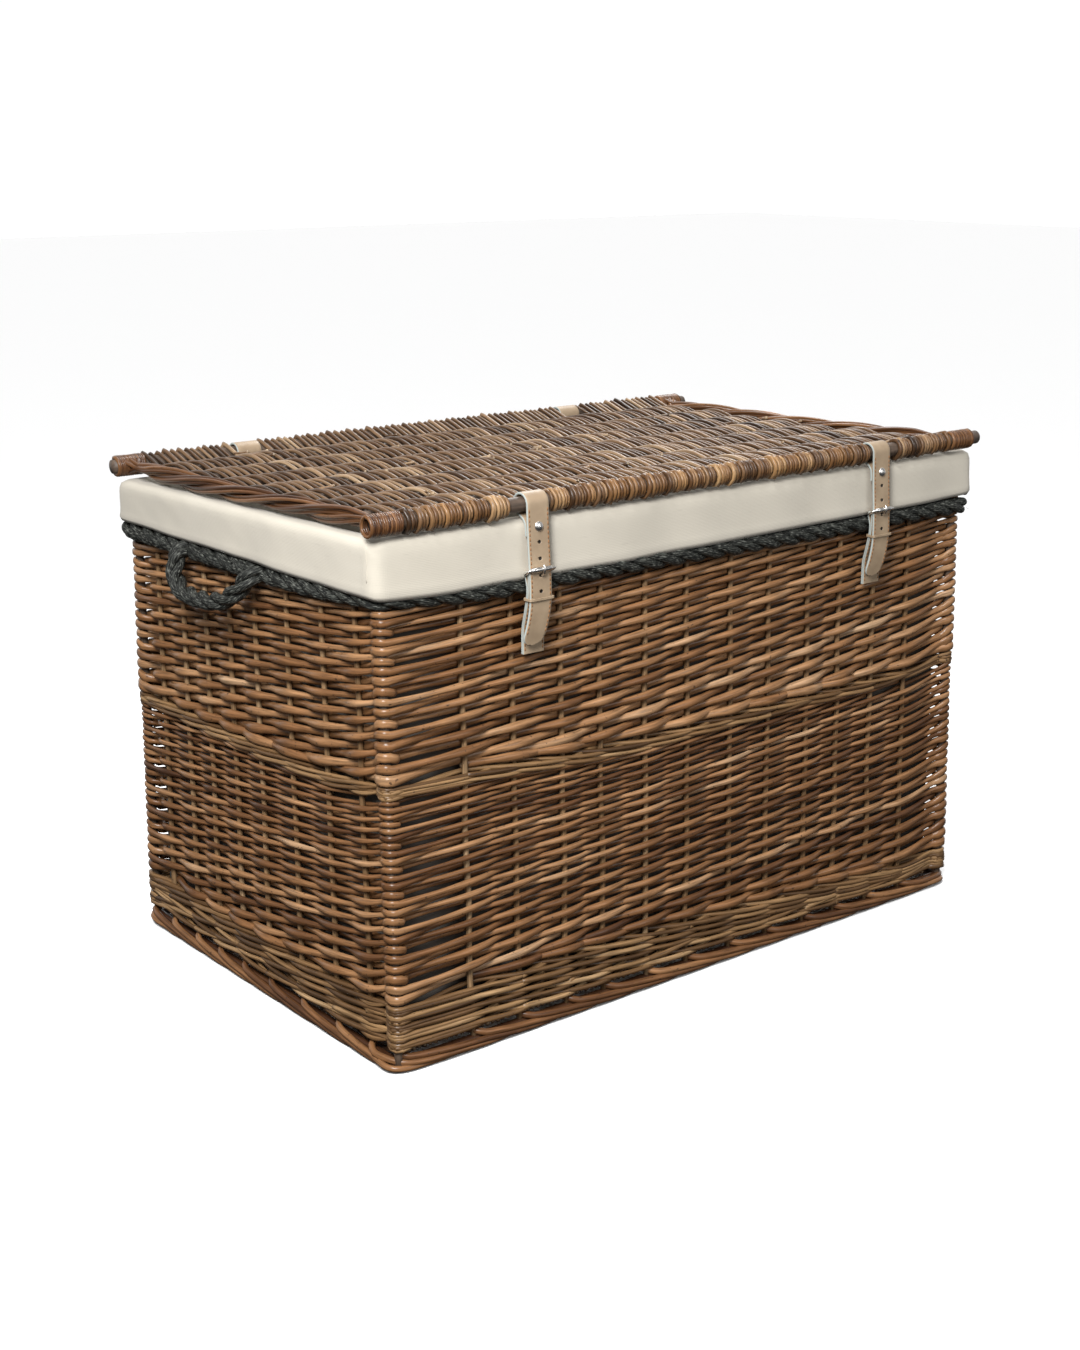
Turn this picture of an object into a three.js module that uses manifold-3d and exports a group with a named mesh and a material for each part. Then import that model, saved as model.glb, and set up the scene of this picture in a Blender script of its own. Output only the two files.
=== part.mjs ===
// Wicker storage trunk: a woven willow body on a foot border, a cotton lining folded over the rim,
// a rope laid round the wall below the lining's hem, rope end handles, and a woven lid that turns
// in two leather hinges and is held shut by two buckled straps.
//
// Frame: millimetres. +X runs along the length, -Y is the front with the straps, +Z is up.
// The origin is on the floor under the middle of the body.

import * as THREE from 'three';
import { mergeVertices } from 'three/addons/utils/BufferGeometryUtils.js';
import Module from 'manifold-3d';

const wasm = await Module();
wasm.setup();

// ---------------------------------------------------------------- driving dimensions

const HALF_LENGTH = 400; // wall's outer face, along X
const HALF_DEPTH = 236.5; // wall's outer face at the rim, along Y
const RIM = 510; // height of the wall's rim, halfway front to back
const SPLAY = 14.4; // how much further out the long walls stand at the floor
const RIM_SLOPE = 5; // the rim is this much higher at the front and lower at the back
const WALL = 16; // thickness of the woven wall
const GAP = 0.3; // clearance between touching pieces
const CORNER = 11; // outer corner radius of the wall

const FOOT_TOP = 18;
const BOTTOM_WALE_TOP = 62;
const LOWER_WEAVE_TOP = 265;
const MID_WALE_TOP = 277;
const UPPER_WEAVE_TOP = 495;
const FOOT_FLARE = 3;

const POST_RADIUS = 6.5;
const POST_INSET = 10; // post's centre from both outer faces
const POST_CLEARANCE = 1;

const BASE_BOTTOM = 11;
const BASE_TOP = 20;
const BASE_STICK_RADIUS = 4.5;
const BASE_STICK_COUNT = 5;
const BASE_STICK_SPACING = 92;

const CLOTH = 1.2;
const LINING_TOP = 512;
const HEM = 465.5;
const SKIRT_OUT = 8; // skirt's outer face from the wall's outer face

const ROPE_RADIUS = 9.5;
const ROPE_HEIGHT = 455.5;
const ROPE_OUT = 1; // rope's centre from the wall's outer face
const ROPE_CORNER = 20;

const HANDLE_CENTRE = 31; // along Y
const HANDLE_SPREAD = 142; // between the legs' centres
const HANDLE_DROP = 38;
const HANDLE_BEND = 28;
const HANDLE_LEAN = 20; // degrees out from the wall
const HANDLE_AXIS_OUT = 12; // turning axis from the wall's outer face
const KNOT_RADIUS = 15;
const KNOT_LENGTH = 17;

const STICK_RADIUS = 8.5;
const STICK_Y = 240.7; // front and back lid sticks, from the middle
const BACK_STICK_HEIGHT = 521.6;
const FRONT_STICK_HEIGHT = 531.7;
const STICK_END = 413;
const WRAP_RADIUS = 12;
const BORE_CLEARANCE = 0.3;
const LID_HALF_THICKNESS = 7.5;
const LID_STICK_RADIUS = 4.5;
const LID_STICK_COUNT = 7;
const LEFT_BORDER = [-403, -377]; // span along X
const RIGHT_BORDER = [360, 386];
const BORDER_HALF_THICKNESS = 9;
const BORDER_WRAP_RADIUS = 13.5;
const FRONT_LEFT_WRAP_END = -413;
const FRONT_LEFT_STICK_END = -406;

const STRAP_X = { left: -228, right: 243 };
const STRAP_HALF_WIDTH = 13;
const LEATHER = 2.3;
const LOOP_RADIUS = 9; // inside of a leather loop round a lid stick
const STRAP_LENGTH = 132.7; // from the front stick's axis to the tip
const STRAP_SPREAD = 3.6; // degrees out from plumb
const STRAP_NOTCH = { halfWidth: 18, depth: 16 };
const HOLE_RADIUS = 1.5;
const HOLES = [34.7, 50.2, 81.2]; // down the strap from the stick's axis
const PRONG_SLOT = [62.6, 68.8];

const HINGE_X = { left: -250, right: 208 };
const HINGE_HALF_WIDTH = 15;
const HINGE_BOTTOM = 476;
const HINGE_RIVET_HEIGHT = 502;
const HINGE_NOTCH = { halfWidth: 17, depth: 13.5 };

const BAR_RADIUS = 1.3;
const REAR_BAR = { y: -249.8, z: 467 };
const FRONT_BAR = { y: -258.5, z: 472 };
const FRAME_HALF_WIDTH = 15.2;
const ROLLER = { inner: 1.55, outer: 2.2, halfLength: 13.2 };
const PRONG_RADIUS = 0.8;
const CHAPE_HALF_WIDTH = 12.5;
const CHAPE_LOOP = 3.4;
const CHAPE_BOTTOM = 389;
const CHAPE_RIVET = { x: -6, z: 401 };
const KEEPER = { bottom: 441.5, top: 445.5, wall: 1.2, halfWidth: 14.2, back: -247.9, front: -259.4 };
const RIVET_HEAD = 4.5;
const RIVET_DOME = 1.8;
const RIVET_SHAFT = 1.8;

// ---------------------------------------------------------------- finishes

const finish = (color, roughness, metalness = 0) =>
  new THREE.MeshStandardMaterial({ color, roughness, metalness, flatShading: true });

const FINISH = {
  willow: finish('#7b5436', 0.62),
  greyWillow: finish('#6f5742', 0.68),
  lidWillow: finish('#6a4e3c', 0.66),
  stick: finish('#6e5a4c', 0.6),
  cotton: finish('#e6dfd1', 0.9),
  rope: finish('#2f3236', 0.95),
  leather: finish('#bfa283', 0.55),
  nickel: finish('#c9c9c6', 0.25, 1),
};

// ---------------------------------------------------------------- solids

const toSolid = (geometry) => {
  const bare = geometry.index ? geometry.clone() : mergeVertices(geometry.clone());
  bare.deleteAttribute('normal');
  bare.deleteAttribute('uv');
  const merged = mergeVertices(bare, 1e-4);
  return new wasm.Manifold(new wasm.Mesh({
    numProp: 3,
    vertProperties: merged.attributes.position.array,
    triVerts: Uint32Array.from(merged.index.array),
  }));
};

const toGeometry = (solid) => {
  const mesh = solid.getMesh();
  const geometry = new THREE.BufferGeometry();
  geometry.setAttribute('position', new THREE.Float32BufferAttribute(mesh.vertProperties, 3));
  geometry.setIndex(Array.from(mesh.triVerts));
  geometry.computeVertexNormals();
  return geometry;
};

const join = (...solids) => solids.reduce((whole, solid) => whole.add(solid));

const cut = (solid, ...tools) => tools.reduce((rest, tool) => rest.subtract(tool), solid);

const block = ([x0, x1], [y0, y1], [z0, z1]) => {
  const geometry = new THREE.BoxGeometry(x1 - x0, y1 - y0, z1 - z0);
  geometry.translate((x0 + x1) / 2, (y0 + y1) / 2, (z0 + z1) / 2);
  return toSolid(geometry);
};

const rodAlongX = (radius, [x0, x1], y, z, sides = 12) => {
  const geometry = new THREE.CylinderGeometry(radius, radius, x1 - x0, sides);
  geometry.rotateZ(Math.PI / 2);
  geometry.translate((x0 + x1) / 2, y, z);
  return toSolid(geometry);
};

const rodAlongY = (radius, x, [y0, y1], z, sides = 10) => {
  const geometry = new THREE.CylinderGeometry(radius, radius, y1 - y0, sides);
  geometry.translate(x, (y0 + y1) / 2, z);
  return toSolid(geometry);
};

const roundedRectangle = (halfX, halfY, radius, path = new THREE.Shape()) => {
  path.moveTo(-halfX + radius, -halfY);
  path.lineTo(halfX - radius, -halfY);
  path.absarc(halfX - radius, -halfY + radius, radius, -Math.PI / 2, 0);
  path.lineTo(halfX, halfY - radius);
  path.absarc(halfX - radius, halfY - radius, radius, 0, Math.PI / 2);
  path.lineTo(-halfX + radius, halfY);
  path.absarc(-halfX + radius, halfY - radius, radius, Math.PI / 2, Math.PI);
  path.lineTo(-halfX, -halfY + radius);
  path.absarc(-halfX + radius, -halfY + radius, radius, Math.PI, 1.5 * Math.PI);
  return path;
};

const prism = (shape, [z0, z1], curveSegments = 4) => {
  const geometry = new THREE.ExtrudeGeometry(shape, { depth: z1 - z0, bevelEnabled: false, curveSegments });
  geometry.translate(0, 0, z0);
  return toSolid(geometry);
};

// A shape drawn with its x along Y and its y along Z, extruded along X.
const slabAlongX = (shape, [x0, x1], curveSegments = 8) => {
  const geometry = new THREE.ExtrudeGeometry(shape, { depth: x1 - x0, bevelEnabled: false, curveSegments });
  const basis = new THREE.Matrix4().makeBasis(
    new THREE.Vector3(0, 1, 0), new THREE.Vector3(0, 0, 1), new THREE.Vector3(1, 0, 0));
  geometry.applyMatrix4(basis);
  geometry.translate(x0, 0, 0);
  return toSolid(geometry);
};

// A shape drawn with its x along X and its y along Z, extruded along Y.
const slabAlongY = (shape, [y0, y1], curveSegments = 8) => {
  const geometry = new THREE.ExtrudeGeometry(shape, { depth: y1 - y0, bevelEnabled: false, curveSegments });
  const basis = new THREE.Matrix4().makeBasis(
    new THREE.Vector3(1, 0, 0), new THREE.Vector3(0, 0, 1), new THREE.Vector3(0, -1, 0));
  geometry.applyMatrix4(basis);
  geometry.translate(0, y1, 0);
  return toSolid(geometry);
};

const annulusAlongX = (inner, outer, span, y, z) => {
  const shape = new THREE.Shape();
  shape.absarc(y, z, outer, 0, 2 * Math.PI);
  const hole = new THREE.Path();
  hole.absarc(y, z, inner, 0, 2 * Math.PI);
  shape.holes.push(hole);
  return slabAlongX(shape, span, 8);
};

const tube = (path, radius, steps, sides) => {
  const section = new THREE.Shape();
  section.absarc(0, 0, radius, 0, 2 * Math.PI);
  const geometry = new THREE.ExtrudeGeometry(section, {
    steps, curveSegments: sides, bevelEnabled: false, extrudePath: path,
  });
  return toSolid(geometry);
};

const polygon = (points) => new THREE.Shape(points.map(([a, b]) => new THREE.Vector2(a, b)));

// ---------------------------------------------------------------- the body's shape

const splayAt = (z) => 1 + (SPLAY / HALF_DEPTH) * (1 - z / RIM);

// Straight pieces are drawn at the rim's size, then the long walls splay and the rim slopes.
const bodyShape = (solid) => solid.warp((vertex) => {
  const [, y, z] = vertex;
  vertex[1] = y * splayAt(z);
  if (z > HEM) {
    vertex[2] = z - RIM_SLOPE * (y / HALF_DEPTH) * ((z - HEM) / (LINING_TOP - HEM));
  }
});

const postCentres = {
  front_left: [-HALF_LENGTH + POST_INSET, -HALF_DEPTH + POST_INSET],
  front_right: [HALF_LENGTH - POST_INSET, -HALF_DEPTH + POST_INSET],
  back_left: [-HALF_LENGTH + POST_INSET, HALF_DEPTH - POST_INSET],
  back_right: [HALF_LENGTH - POST_INSET, HALF_DEPTH - POST_INSET],
};

const wallRing = ([z0, z1], { out = 0, thickness = WALL, posts = true } = {}) => {
  const shape = roundedRectangle(HALF_LENGTH + out, HALF_DEPTH + out, CORNER + out);
  const innerX = HALF_LENGTH + out - thickness;
  const innerY = HALF_DEPTH + out - thickness;
  shape.holes.push(roundedRectangle(innerX, innerY, 2, new THREE.Path()));
  if (posts) {
    Object.values(postCentres).forEach(([x, y]) => {
      const hole = new THREE.Path();
      hole.absarc(x, y, POST_RADIUS + POST_CLEARANCE, 0, 2 * Math.PI);
      shape.holes.push(hole);
    });
  }
  return prism(shape, [z0, z1]);
};

// The rope's ring with an eight-sided section, grown all round by `grow`.
const ropeRing = (grow = 0) => {
  const chamfer = 5.5;
  const flat = ROPE_RADIUS - chamfer + grow;
  const centreX = HALF_LENGTH + ROPE_OUT;
  const centreY = HALF_DEPTH + ROPE_OUT;
  const shape = roundedRectangle(centreX + flat, centreY + flat, ROPE_CORNER + flat);
  shape.holes.push(roundedRectangle(centreX - flat, centreY - flat, ROPE_CORNER - flat, new THREE.Path()));
  const geometry = new THREE.ExtrudeGeometry(shape, {
    depth: 2 * flat,
    bevelEnabled: true,
    bevelSegments: 1,
    bevelSize: chamfer,
    bevelThickness: chamfer,
    curveSegments: 5,
  });
  geometry.translate(0, 0, ROPE_HEIGHT - flat);
  return toSolid(geometry);
};

const handleLegs = [HANDLE_CENTRE - HANDLE_SPREAD / 2, HANDLE_CENTRE + HANDLE_SPREAD / 2];

const legHoles = (radius) => join(...handleLegs.map((y) =>
  rodAlongX(radius, [-HALF_LENGTH - 20, HALF_LENGTH + 20], y, ROPE_HEIGHT, 16)));

const chapeRivetHoles = (radius) => join(...Object.values(STRAP_X).map((x) =>
  rodAlongY(radius, x + CHAPE_RIVET.x, [-HALF_DEPTH - 10, -HALF_DEPTH + 10], CHAPE_RIVET.z)));

const hingeRivetHoles = (radius) => join(...Object.values(HINGE_X).map((x) =>
  rodAlongY(radius, x, [HALF_DEPTH - 12, HALF_DEPTH + 12], HINGE_RIVET_HEIGHT)));

// ---------------------------------------------------------------- body pieces

const footBorder = () => bodyShape(wallRing([0, FOOT_TOP - GAP], {
  out: FOOT_FLARE, thickness: WALL + FOOT_FLARE - 1, posts: false,
}));

const plainBand = (bottom, top) => bodyShape(wallRing([bottom, top - GAP]));

const upperWeave = () => {
  const band = bodyShape(cut(wallRing([MID_WALE_TOP, UPPER_WEAVE_TOP - GAP]), ropeRing(0.4)));
  return cut(band, legHoles(ROPE_RADIUS + GAP), chapeRivetHoles(RIVET_SHAFT + GAP));
};

const topBorder = () => cut(
  bodyShape(wallRing([UPPER_WEAVE_TOP, RIM])),
  hingeRivetHoles(RIVET_SHAFT + GAP));

const cornerPost = ([x, y]) => {
  const geometry = new THREE.CylinderGeometry(POST_RADIUS, POST_RADIUS, RIM - 4 - FOOT_TOP, 12);
  geometry.rotateX(Math.PI / 2);
  geometry.translate(x, y, (RIM - 4 + FOOT_TOP) / 2);
  return bodyShape(cut(toSolid(geometry), ropeRing(0.4)));
};

const baseStickY = (index) => (index - (BASE_STICK_COUNT - 1) / 2) * BASE_STICK_SPACING;

const baseStick = (y) => {
  const reach = HALF_LENGTH - WALL - 3;
  return rodAlongX(BASE_STICK_RADIUS, [-reach, reach], y, BASE_BOTTOM, 10);
};

const baseMat = () => {
  const halfX = HALF_LENGTH - WALL - 1;
  const halfY = HALF_DEPTH * splayAt(BASE_TOP) - WALL - 1.5;
  const mat = prism(roundedRectangle(halfX, halfY, 4), [BASE_BOTTOM, BASE_TOP]);
  const channels = Array.from({ length: BASE_STICK_COUNT }, (_, index) => rodAlongX(
    BASE_STICK_RADIUS + 0.4, [-HALF_LENGTH, HALF_LENGTH], baseStickY(index), BASE_BOTTOM, 10));
  return cut(mat, ...channels);
};

const lining = () => {
  const bagX = HALF_LENGTH - WALL - 0.8;
  const bagY = HALF_DEPTH - WALL - 0.8;
  const skirtX = HALF_LENGTH + SKIRT_OUT;
  const skirtY = HALF_DEPTH + SKIRT_OUT;
  const ring = ([outX, outY], [inX, inY], span, outRadius, inRadius) => {
    const shape = roundedRectangle(outX, outY, outRadius);
    shape.holes.push(roundedRectangle(inX, inY, inRadius, new THREE.Path()));
    return prism(shape, span);
  };
  const bag = [bagX, bagY];
  const bagInside = [bagX - CLOTH, bagY - CLOTH];
  const skirt = [skirtX, skirtY];
  const skirtInside = [skirtX - CLOTH, skirtY - CLOTH];
  const bottom = prism(roundedRectangle(bagX, bagY, 6), [BASE_TOP + 0.6, BASE_TOP + 0.6 + CLOTH]);
  const whole = join(
    bottom,
    ring(bag, bagInside, [BASE_TOP + 0.6, LINING_TOP], 6, 5),
    ring(skirt, bagInside, [LINING_TOP - CLOTH, LINING_TOP], 19, 5),
    ring(skirt, skirtInside, [HEM, LINING_TOP], 19, 18));
  return cut(bodyShape(whole), legHoles(ROPE_RADIUS + GAP), hingeRivetHoles(RIVET_SHAFT + GAP));
};

// ---------------------------------------------------------------- rope

const ropePieces = () => {
  const ring = bodyShape(ropeRing());
  const far = HALF_LENGTH + 50;
  const room = ROPE_RADIUS + 0.9;
  const height = [ROPE_HEIGHT - 20, ROPE_HEIGHT + 20];
  const [near, back] = handleLegs;
  const part = (spanX, spanY) => ring.intersect(block(spanX, spanY, height));
  return {
    rope_front: part([-far, far], [-far, near - room]),
    rope_back: part([-far, far], [back + room, far]),
    rope_short_left: part([-far, 0], [near + room, back - room]),
    rope_short_right: part([0, far], [near + room, back - room]),
  };
};

// Drawn on the left end: a stub through the wall, rounded outside, with its knot inside.
const handleKnot = () => {
  const outer = HANDLE_AXIS_OUT;
  const knotStart = -WALL - 0.8 - CLOTH - 0.5;
  const profile = [new THREE.Vector2(0, outer + ROPE_RADIUS)];
  for (let step = 1; step <= 4; step += 1) {
    const angle = (step / 4) * (Math.PI / 2);
    profile.push(new THREE.Vector2(ROPE_RADIUS * Math.sin(angle), outer + ROPE_RADIUS * Math.cos(angle)));
  }
  profile.push(new THREE.Vector2(ROPE_RADIUS, knotStart));
  for (let step = 0; step <= 5; step += 1) {
    const angle = (0.15 + 0.7 * (step / 5)) * Math.PI;
    profile.push(new THREE.Vector2(
      KNOT_RADIUS * Math.sin(angle),
      knotStart - (KNOT_LENGTH / 2) * (1 - Math.cos(angle) / Math.cos(0.15 * Math.PI))));
  }
  profile.push(new THREE.Vector2(0, knotStart - KNOT_LENGTH));
  const geometry = new THREE.LatheGeometry(profile.reverse(), 14);
  geometry.rotateZ(Math.PI / 2);
  return toSolid(geometry);
};

// Drawn hanging from the origin in the YZ plane.
const ropeHandle = () => {
  const side = HANDLE_SPREAD / 2;
  const start = ROPE_RADIUS + 0.6;
  const turn = HANDLE_DROP - HANDLE_BEND;
  const at = (y, drop) => new THREE.Vector3(0, y, -drop);
  const path = new THREE.CurvePath();
  path.add(new THREE.QuadraticBezierCurve3(
    at(-side, start), at(-side, HANDLE_DROP), at(-side + HANDLE_BEND + turn, HANDLE_DROP)));
  path.add(new THREE.LineCurve3(
    at(-side + HANDLE_BEND + turn, HANDLE_DROP), at(side - HANDLE_BEND - turn, HANDLE_DROP)));
  path.add(new THREE.QuadraticBezierCurve3(
    at(side - HANDLE_BEND - turn, HANDLE_DROP), at(side, HANDLE_DROP), at(side, start)));
  return tube(path, ROPE_RADIUS - 0.3, 18, 5);
};

// ---------------------------------------------------------------- lid, drawn flat with the back stick's axis on X

const stickSpacing = Math.hypot(2 * STICK_Y, FRONT_STICK_HEIGHT - BACK_STICK_HEIGHT);
const lidTilt = -Math.atan2(FRONT_STICK_HEIGHT - BACK_STICK_HEIGHT, 2 * STICK_Y);
const weaveSpan = [LEFT_BORDER[1] + GAP, RIGHT_BORDER[0] - GAP];

const lidStickY = (index) => -(stickSpacing * (index + 1)) / (LID_STICK_COUNT + 1);

const edgeBores = () => join(
  rodAlongX(STICK_RADIUS + BORE_CLEARANCE, [-450, 450], 0, 0, 16),
  rodAlongX(STICK_RADIUS + BORE_CLEARANCE, [-450, 450], -stickSpacing, 0, 16));

const lidWeave = () => {
  const panel = block(weaveSpan, [-stickSpacing, 0], [-LID_HALF_THICKNESS, LID_HALF_THICKNESS]);
  const backWraps = rodAlongX(WRAP_RADIUS, weaveSpan, 0, 0, 16);
  const frontWraps = rodAlongX(WRAP_RADIUS, weaveSpan, -stickSpacing, 0, 16);
  const channels = Array.from({ length: LID_STICK_COUNT }, (_, index) =>
    rodAlongX(LID_STICK_RADIUS + 0.4, [-450, 450], lidStickY(index), 0, 10));
  const tall = [-WRAP_RADIUS - 2, WRAP_RADIUS + 2];
  const strapNotches = Object.values(STRAP_X).map((x) => block(
    [x - STRAP_NOTCH.halfWidth, x + STRAP_NOTCH.halfWidth],
    [-stickSpacing - WRAP_RADIUS - 2, -stickSpacing + STRAP_NOTCH.depth], tall));
  const hingeNotches = Object.values(HINGE_X).map((x) => block(
    [x - HINGE_NOTCH.halfWidth, x + HINGE_NOTCH.halfWidth],
    [-HINGE_NOTCH.depth, WRAP_RADIUS + 2], tall));
  return cut(join(panel, backWraps, frontWraps), edgeBores(), ...channels, ...strapNotches, ...hingeNotches);
};

const lidEndBorder = (span, frontWrapSpan) => {
  const bundle = block(span, [-stickSpacing, 0], [-BORDER_HALF_THICKNESS, BORDER_HALF_THICKNESS]);
  const backWraps = rodAlongX(BORDER_WRAP_RADIUS, span, 0, 0, 16);
  const frontWraps = rodAlongX(BORDER_WRAP_RADIUS, frontWrapSpan, -stickSpacing, 0, 16);
  return cut(join(bundle, backWraps, frontWraps), edgeBores());
};

const edgeStick = ([x0, x1], y) => rodAlongX(STICK_RADIUS, [x0, x1], y, 0, 16);

const lidStick = (y) => rodAlongX(
  LID_STICK_RADIUS, [weaveSpan[0] + 0.5, weaveSpan[1] - 0.5], y, 0, 10);

// ---------------------------------------------------------------- leather, drawn from its stick's axis

const centredOn = (half) => [-half, half];

// The loop round the front stick, its riveted tail and the strap with its holes and rounded tip.
const strap = () => {
  const loop = annulusAlongX(LOOP_RADIUS, LOOP_RADIUS + LEATHER, centredOn(STRAP_HALF_WIDTH), 0, 0);
  const outline = new THREE.Shape();
  outline.moveTo(-STRAP_HALF_WIDTH, 0);
  outline.lineTo(-STRAP_HALF_WIDTH, -STRAP_LENGTH + STRAP_HALF_WIDTH);
  outline.absarc(0, -STRAP_LENGTH + STRAP_HALF_WIDTH, STRAP_HALF_WIDTH, Math.PI, 2 * Math.PI);
  outline.lineTo(STRAP_HALF_WIDTH, 0);
  const faces = [-LOOP_RADIUS - LEATHER, -LOOP_RADIUS];
  const body = slabAlongY(outline, faces, 10);
  const tail = slabAlongX(polygon([
    [2.0, -9.6], [-0.4, -10.8], [-LOOP_RADIUS + LEATHER, -19.5], [-LOOP_RADIUS + LEATHER, -27],
    [-LOOP_RADIUS - 0.5, -27], [-LOOP_RADIUS - 0.5, -16], [-4.5, -9.5],
  ].reverse()), centredOn(STRAP_HALF_WIDTH));
  const through = [-LOOP_RADIUS - LEATHER - 2, -LOOP_RADIUS + LEATHER + 2];
  const holes = HOLES.map((drop) => rodAlongY(HOLE_RADIUS, 0, through, -drop));
  const slot = block(centredOn(1.7), through, [-PRONG_SLOT[1], -PRONG_SLOT[0]]);
  const rivetHole = rodAlongY(RIVET_SHAFT + GAP, 0, through, -18.7 - 2.5);
  const bore = rodAlongX(LOOP_RADIUS, centredOn(STRAP_HALF_WIDTH + 1), 0, 0, 16);
  return cut(join(loop, body, tail), bore, ...holes, slot, rivetHole);
};

// A dome head with its flat side on y = 0 and a shaft towards +Y.
const rivet = (shaftLength) => {
  const profile = [new THREE.Vector2(0, -RIVET_DOME)];
  for (let step = 1; step <= 4; step += 1) {
    const angle = (step / 4) * (Math.PI / 2);
    profile.push(new THREE.Vector2(RIVET_HEAD * Math.sin(angle), -RIVET_DOME * Math.cos(angle)));
  }
  profile.push(new THREE.Vector2(RIVET_SHAFT, 0));
  profile.push(new THREE.Vector2(RIVET_SHAFT, shaftLength));
  profile.push(new THREE.Vector2(0, shaftLength));
  return toSolid(new THREE.LatheGeometry(profile, 12));
};

// The loop round the back stick and the tab down the outside of the back wall.
const hingeLeather = () => {
  const loop = annulusAlongX(LOOP_RADIUS, LOOP_RADIUS + LEATHER, centredOn(HINGE_HALF_WIDTH), 0, 0);
  const drop = BACK_STICK_HEIGHT - HINGE_BOTTOM;
  const tab = block(centredOn(HINGE_HALF_WIDTH), [LOOP_RADIUS, LOOP_RADIUS + LEATHER], [-drop, 0]);
  const bore = rodAlongX(LOOP_RADIUS, centredOn(HINGE_HALF_WIDTH + 1), 0, 0, 16);
  const rivetHole = rodAlongY(RIVET_SHAFT + GAP, 0, [LOOP_RADIUS - 2, LOOP_RADIUS + LEATHER + 2],
    HINGE_RIVET_HEIGHT - BACK_STICK_HEIGHT);
  return cut(join(loop, tab), bore, rivetHole);
};

// Doubled leather folded round the buckle's rear bar, in front of the rope, down to the wall.
const chape = () => {
  const loop = annulusAlongX(BAR_RADIUS + 0.25, CHAPE_LOOP, centredOn(CHAPE_HALF_WIDTH), REAR_BAR.y, REAR_BAR.z);
  const legs = slabAlongX(polygon([
    [-252.9, 465.0], [-252.9, 446], [-245.2, 414], [-245.2, CHAPE_BOTTOM],
    [-241.4, CHAPE_BOTTOM], [-241.4, 414], [-249.1, 446], [-249.1, 465.0],
  ]), centredOn(CHAPE_HALF_WIDTH));
  const bore = rodAlongX(BAR_RADIUS + 0.25, centredOn(CHAPE_HALF_WIDTH + 1), REAR_BAR.y, REAR_BAR.z, 16);
  const prongSlot = block(centredOn(2), [-256, -244], [462.5, 472]);
  const rivetHole = rodAlongY(RIVET_SHAFT + GAP, CHAPE_RIVET.x, [-250, -235], CHAPE_RIVET.z);
  return cut(join(loop, legs), bore, prongSlot, rivetHole);
};

const keeper = () => {
  const { halfWidth, wall, back, front, bottom, top } = KEEPER;
  const outer = block(centredOn(halfWidth + wall), [front - wall, back + wall], [bottom, top]);
  const inner = block(centredOn(halfWidth), [front, back], [bottom - 1, top + 1]);
  return cut(outer, inner);
};

// ---------------------------------------------------------------- buckle

const buckleFrame = () => {
  const barSpan = centredOn(FRAME_HALF_WIDTH);
  const rear = rodAlongX(BAR_RADIUS, barSpan, REAR_BAR.y, REAR_BAR.z, 8);
  const front = rodAlongX(BAR_RADIUS, barSpan, FRONT_BAR.y, FRONT_BAR.z, 8);
  const sides = barSpan.map((x) => {
    const from = new THREE.Vector3(x, REAR_BAR.y, REAR_BAR.z);
    const to = new THREE.Vector3(x, FRONT_BAR.y, FRONT_BAR.z);
    return tube(new THREE.LineCurve3(from, to), BAR_RADIUS, 1, 4);
  });
  const corners = barSpan.flatMap((x) => [REAR_BAR, FRONT_BAR].map(({ y, z }) => {
    const ball = new THREE.SphereGeometry(BAR_RADIUS * 1.05, 8, 6);
    ball.translate(x, y, z);
    return toSolid(ball);
  }));
  return join(rear, front, ...sides, ...corners);
};

const roller = () => annulusAlongX(
  ROLLER.inner, ROLLER.outer, centredOn(ROLLER.halfLength), FRONT_BAR.y, FRONT_BAR.z);

const prong = () => {
  const eye = annulusAlongX(BAR_RADIUS + 0.25, 2.9, centredOn(1.5), REAR_BAR.y, REAR_BAR.z);
  const path = new THREE.CatmullRomCurve3([
    [-252.2, 466.6], [-256, 466.2], [-259.8, 467.6], [-262, 470.8], [-261.8, 474], [-260.8, 476.5],
  ].map(([y, z]) => new THREE.Vector3(0, y, z)));
  const bore = rodAlongX(BAR_RADIUS + 0.25, [-3, 3], REAR_BAR.y, REAR_BAR.z, 16);
  return cut(join(eye, tube(path, PRONG_RADIUS, 10, 3)), bore);
};

// ---------------------------------------------------------------- assembly

const trunk = new THREE.Group();

const addPart = (name, solid, material, parent = trunk) => {
  const mesh = new THREE.Mesh(toGeometry(solid), material);
  mesh.name = name;
  parent.add(mesh);
  return mesh;
};

const addGroup = (x, y, z, parent = trunk) => {
  const group = new THREE.Group();
  group.position.set(x, y, z);
  parent.add(group);
  return group;
};

addPart('foot_border', footBorder(), FINISH.willow);
addPart('bottom_wale', plainBand(FOOT_TOP, BOTTOM_WALE_TOP), FINISH.greyWillow);
addPart('lower_weave', plainBand(BOTTOM_WALE_TOP, LOWER_WEAVE_TOP), FINISH.willow);
addPart('mid_wale', plainBand(LOWER_WEAVE_TOP, MID_WALE_TOP), FINISH.greyWillow);
addPart('upper_weave', upperWeave(), FINISH.willow);
addPart('top_border', topBorder(), FINISH.willow);
Object.entries(postCentres).forEach(([place, centre]) =>
  addPart(`corner_post_${place}`, cornerPost(centre), FINISH.stick));

addPart('base_mat', baseMat(), FINISH.willow);
for (let index = 0; index < BASE_STICK_COUNT; index += 1) {
  addPart(`base_stick_${index + 1}`, baseStick(baseStickY(index)), FINISH.stick);
}
addPart('lining', lining(), FINISH.cotton);

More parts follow.
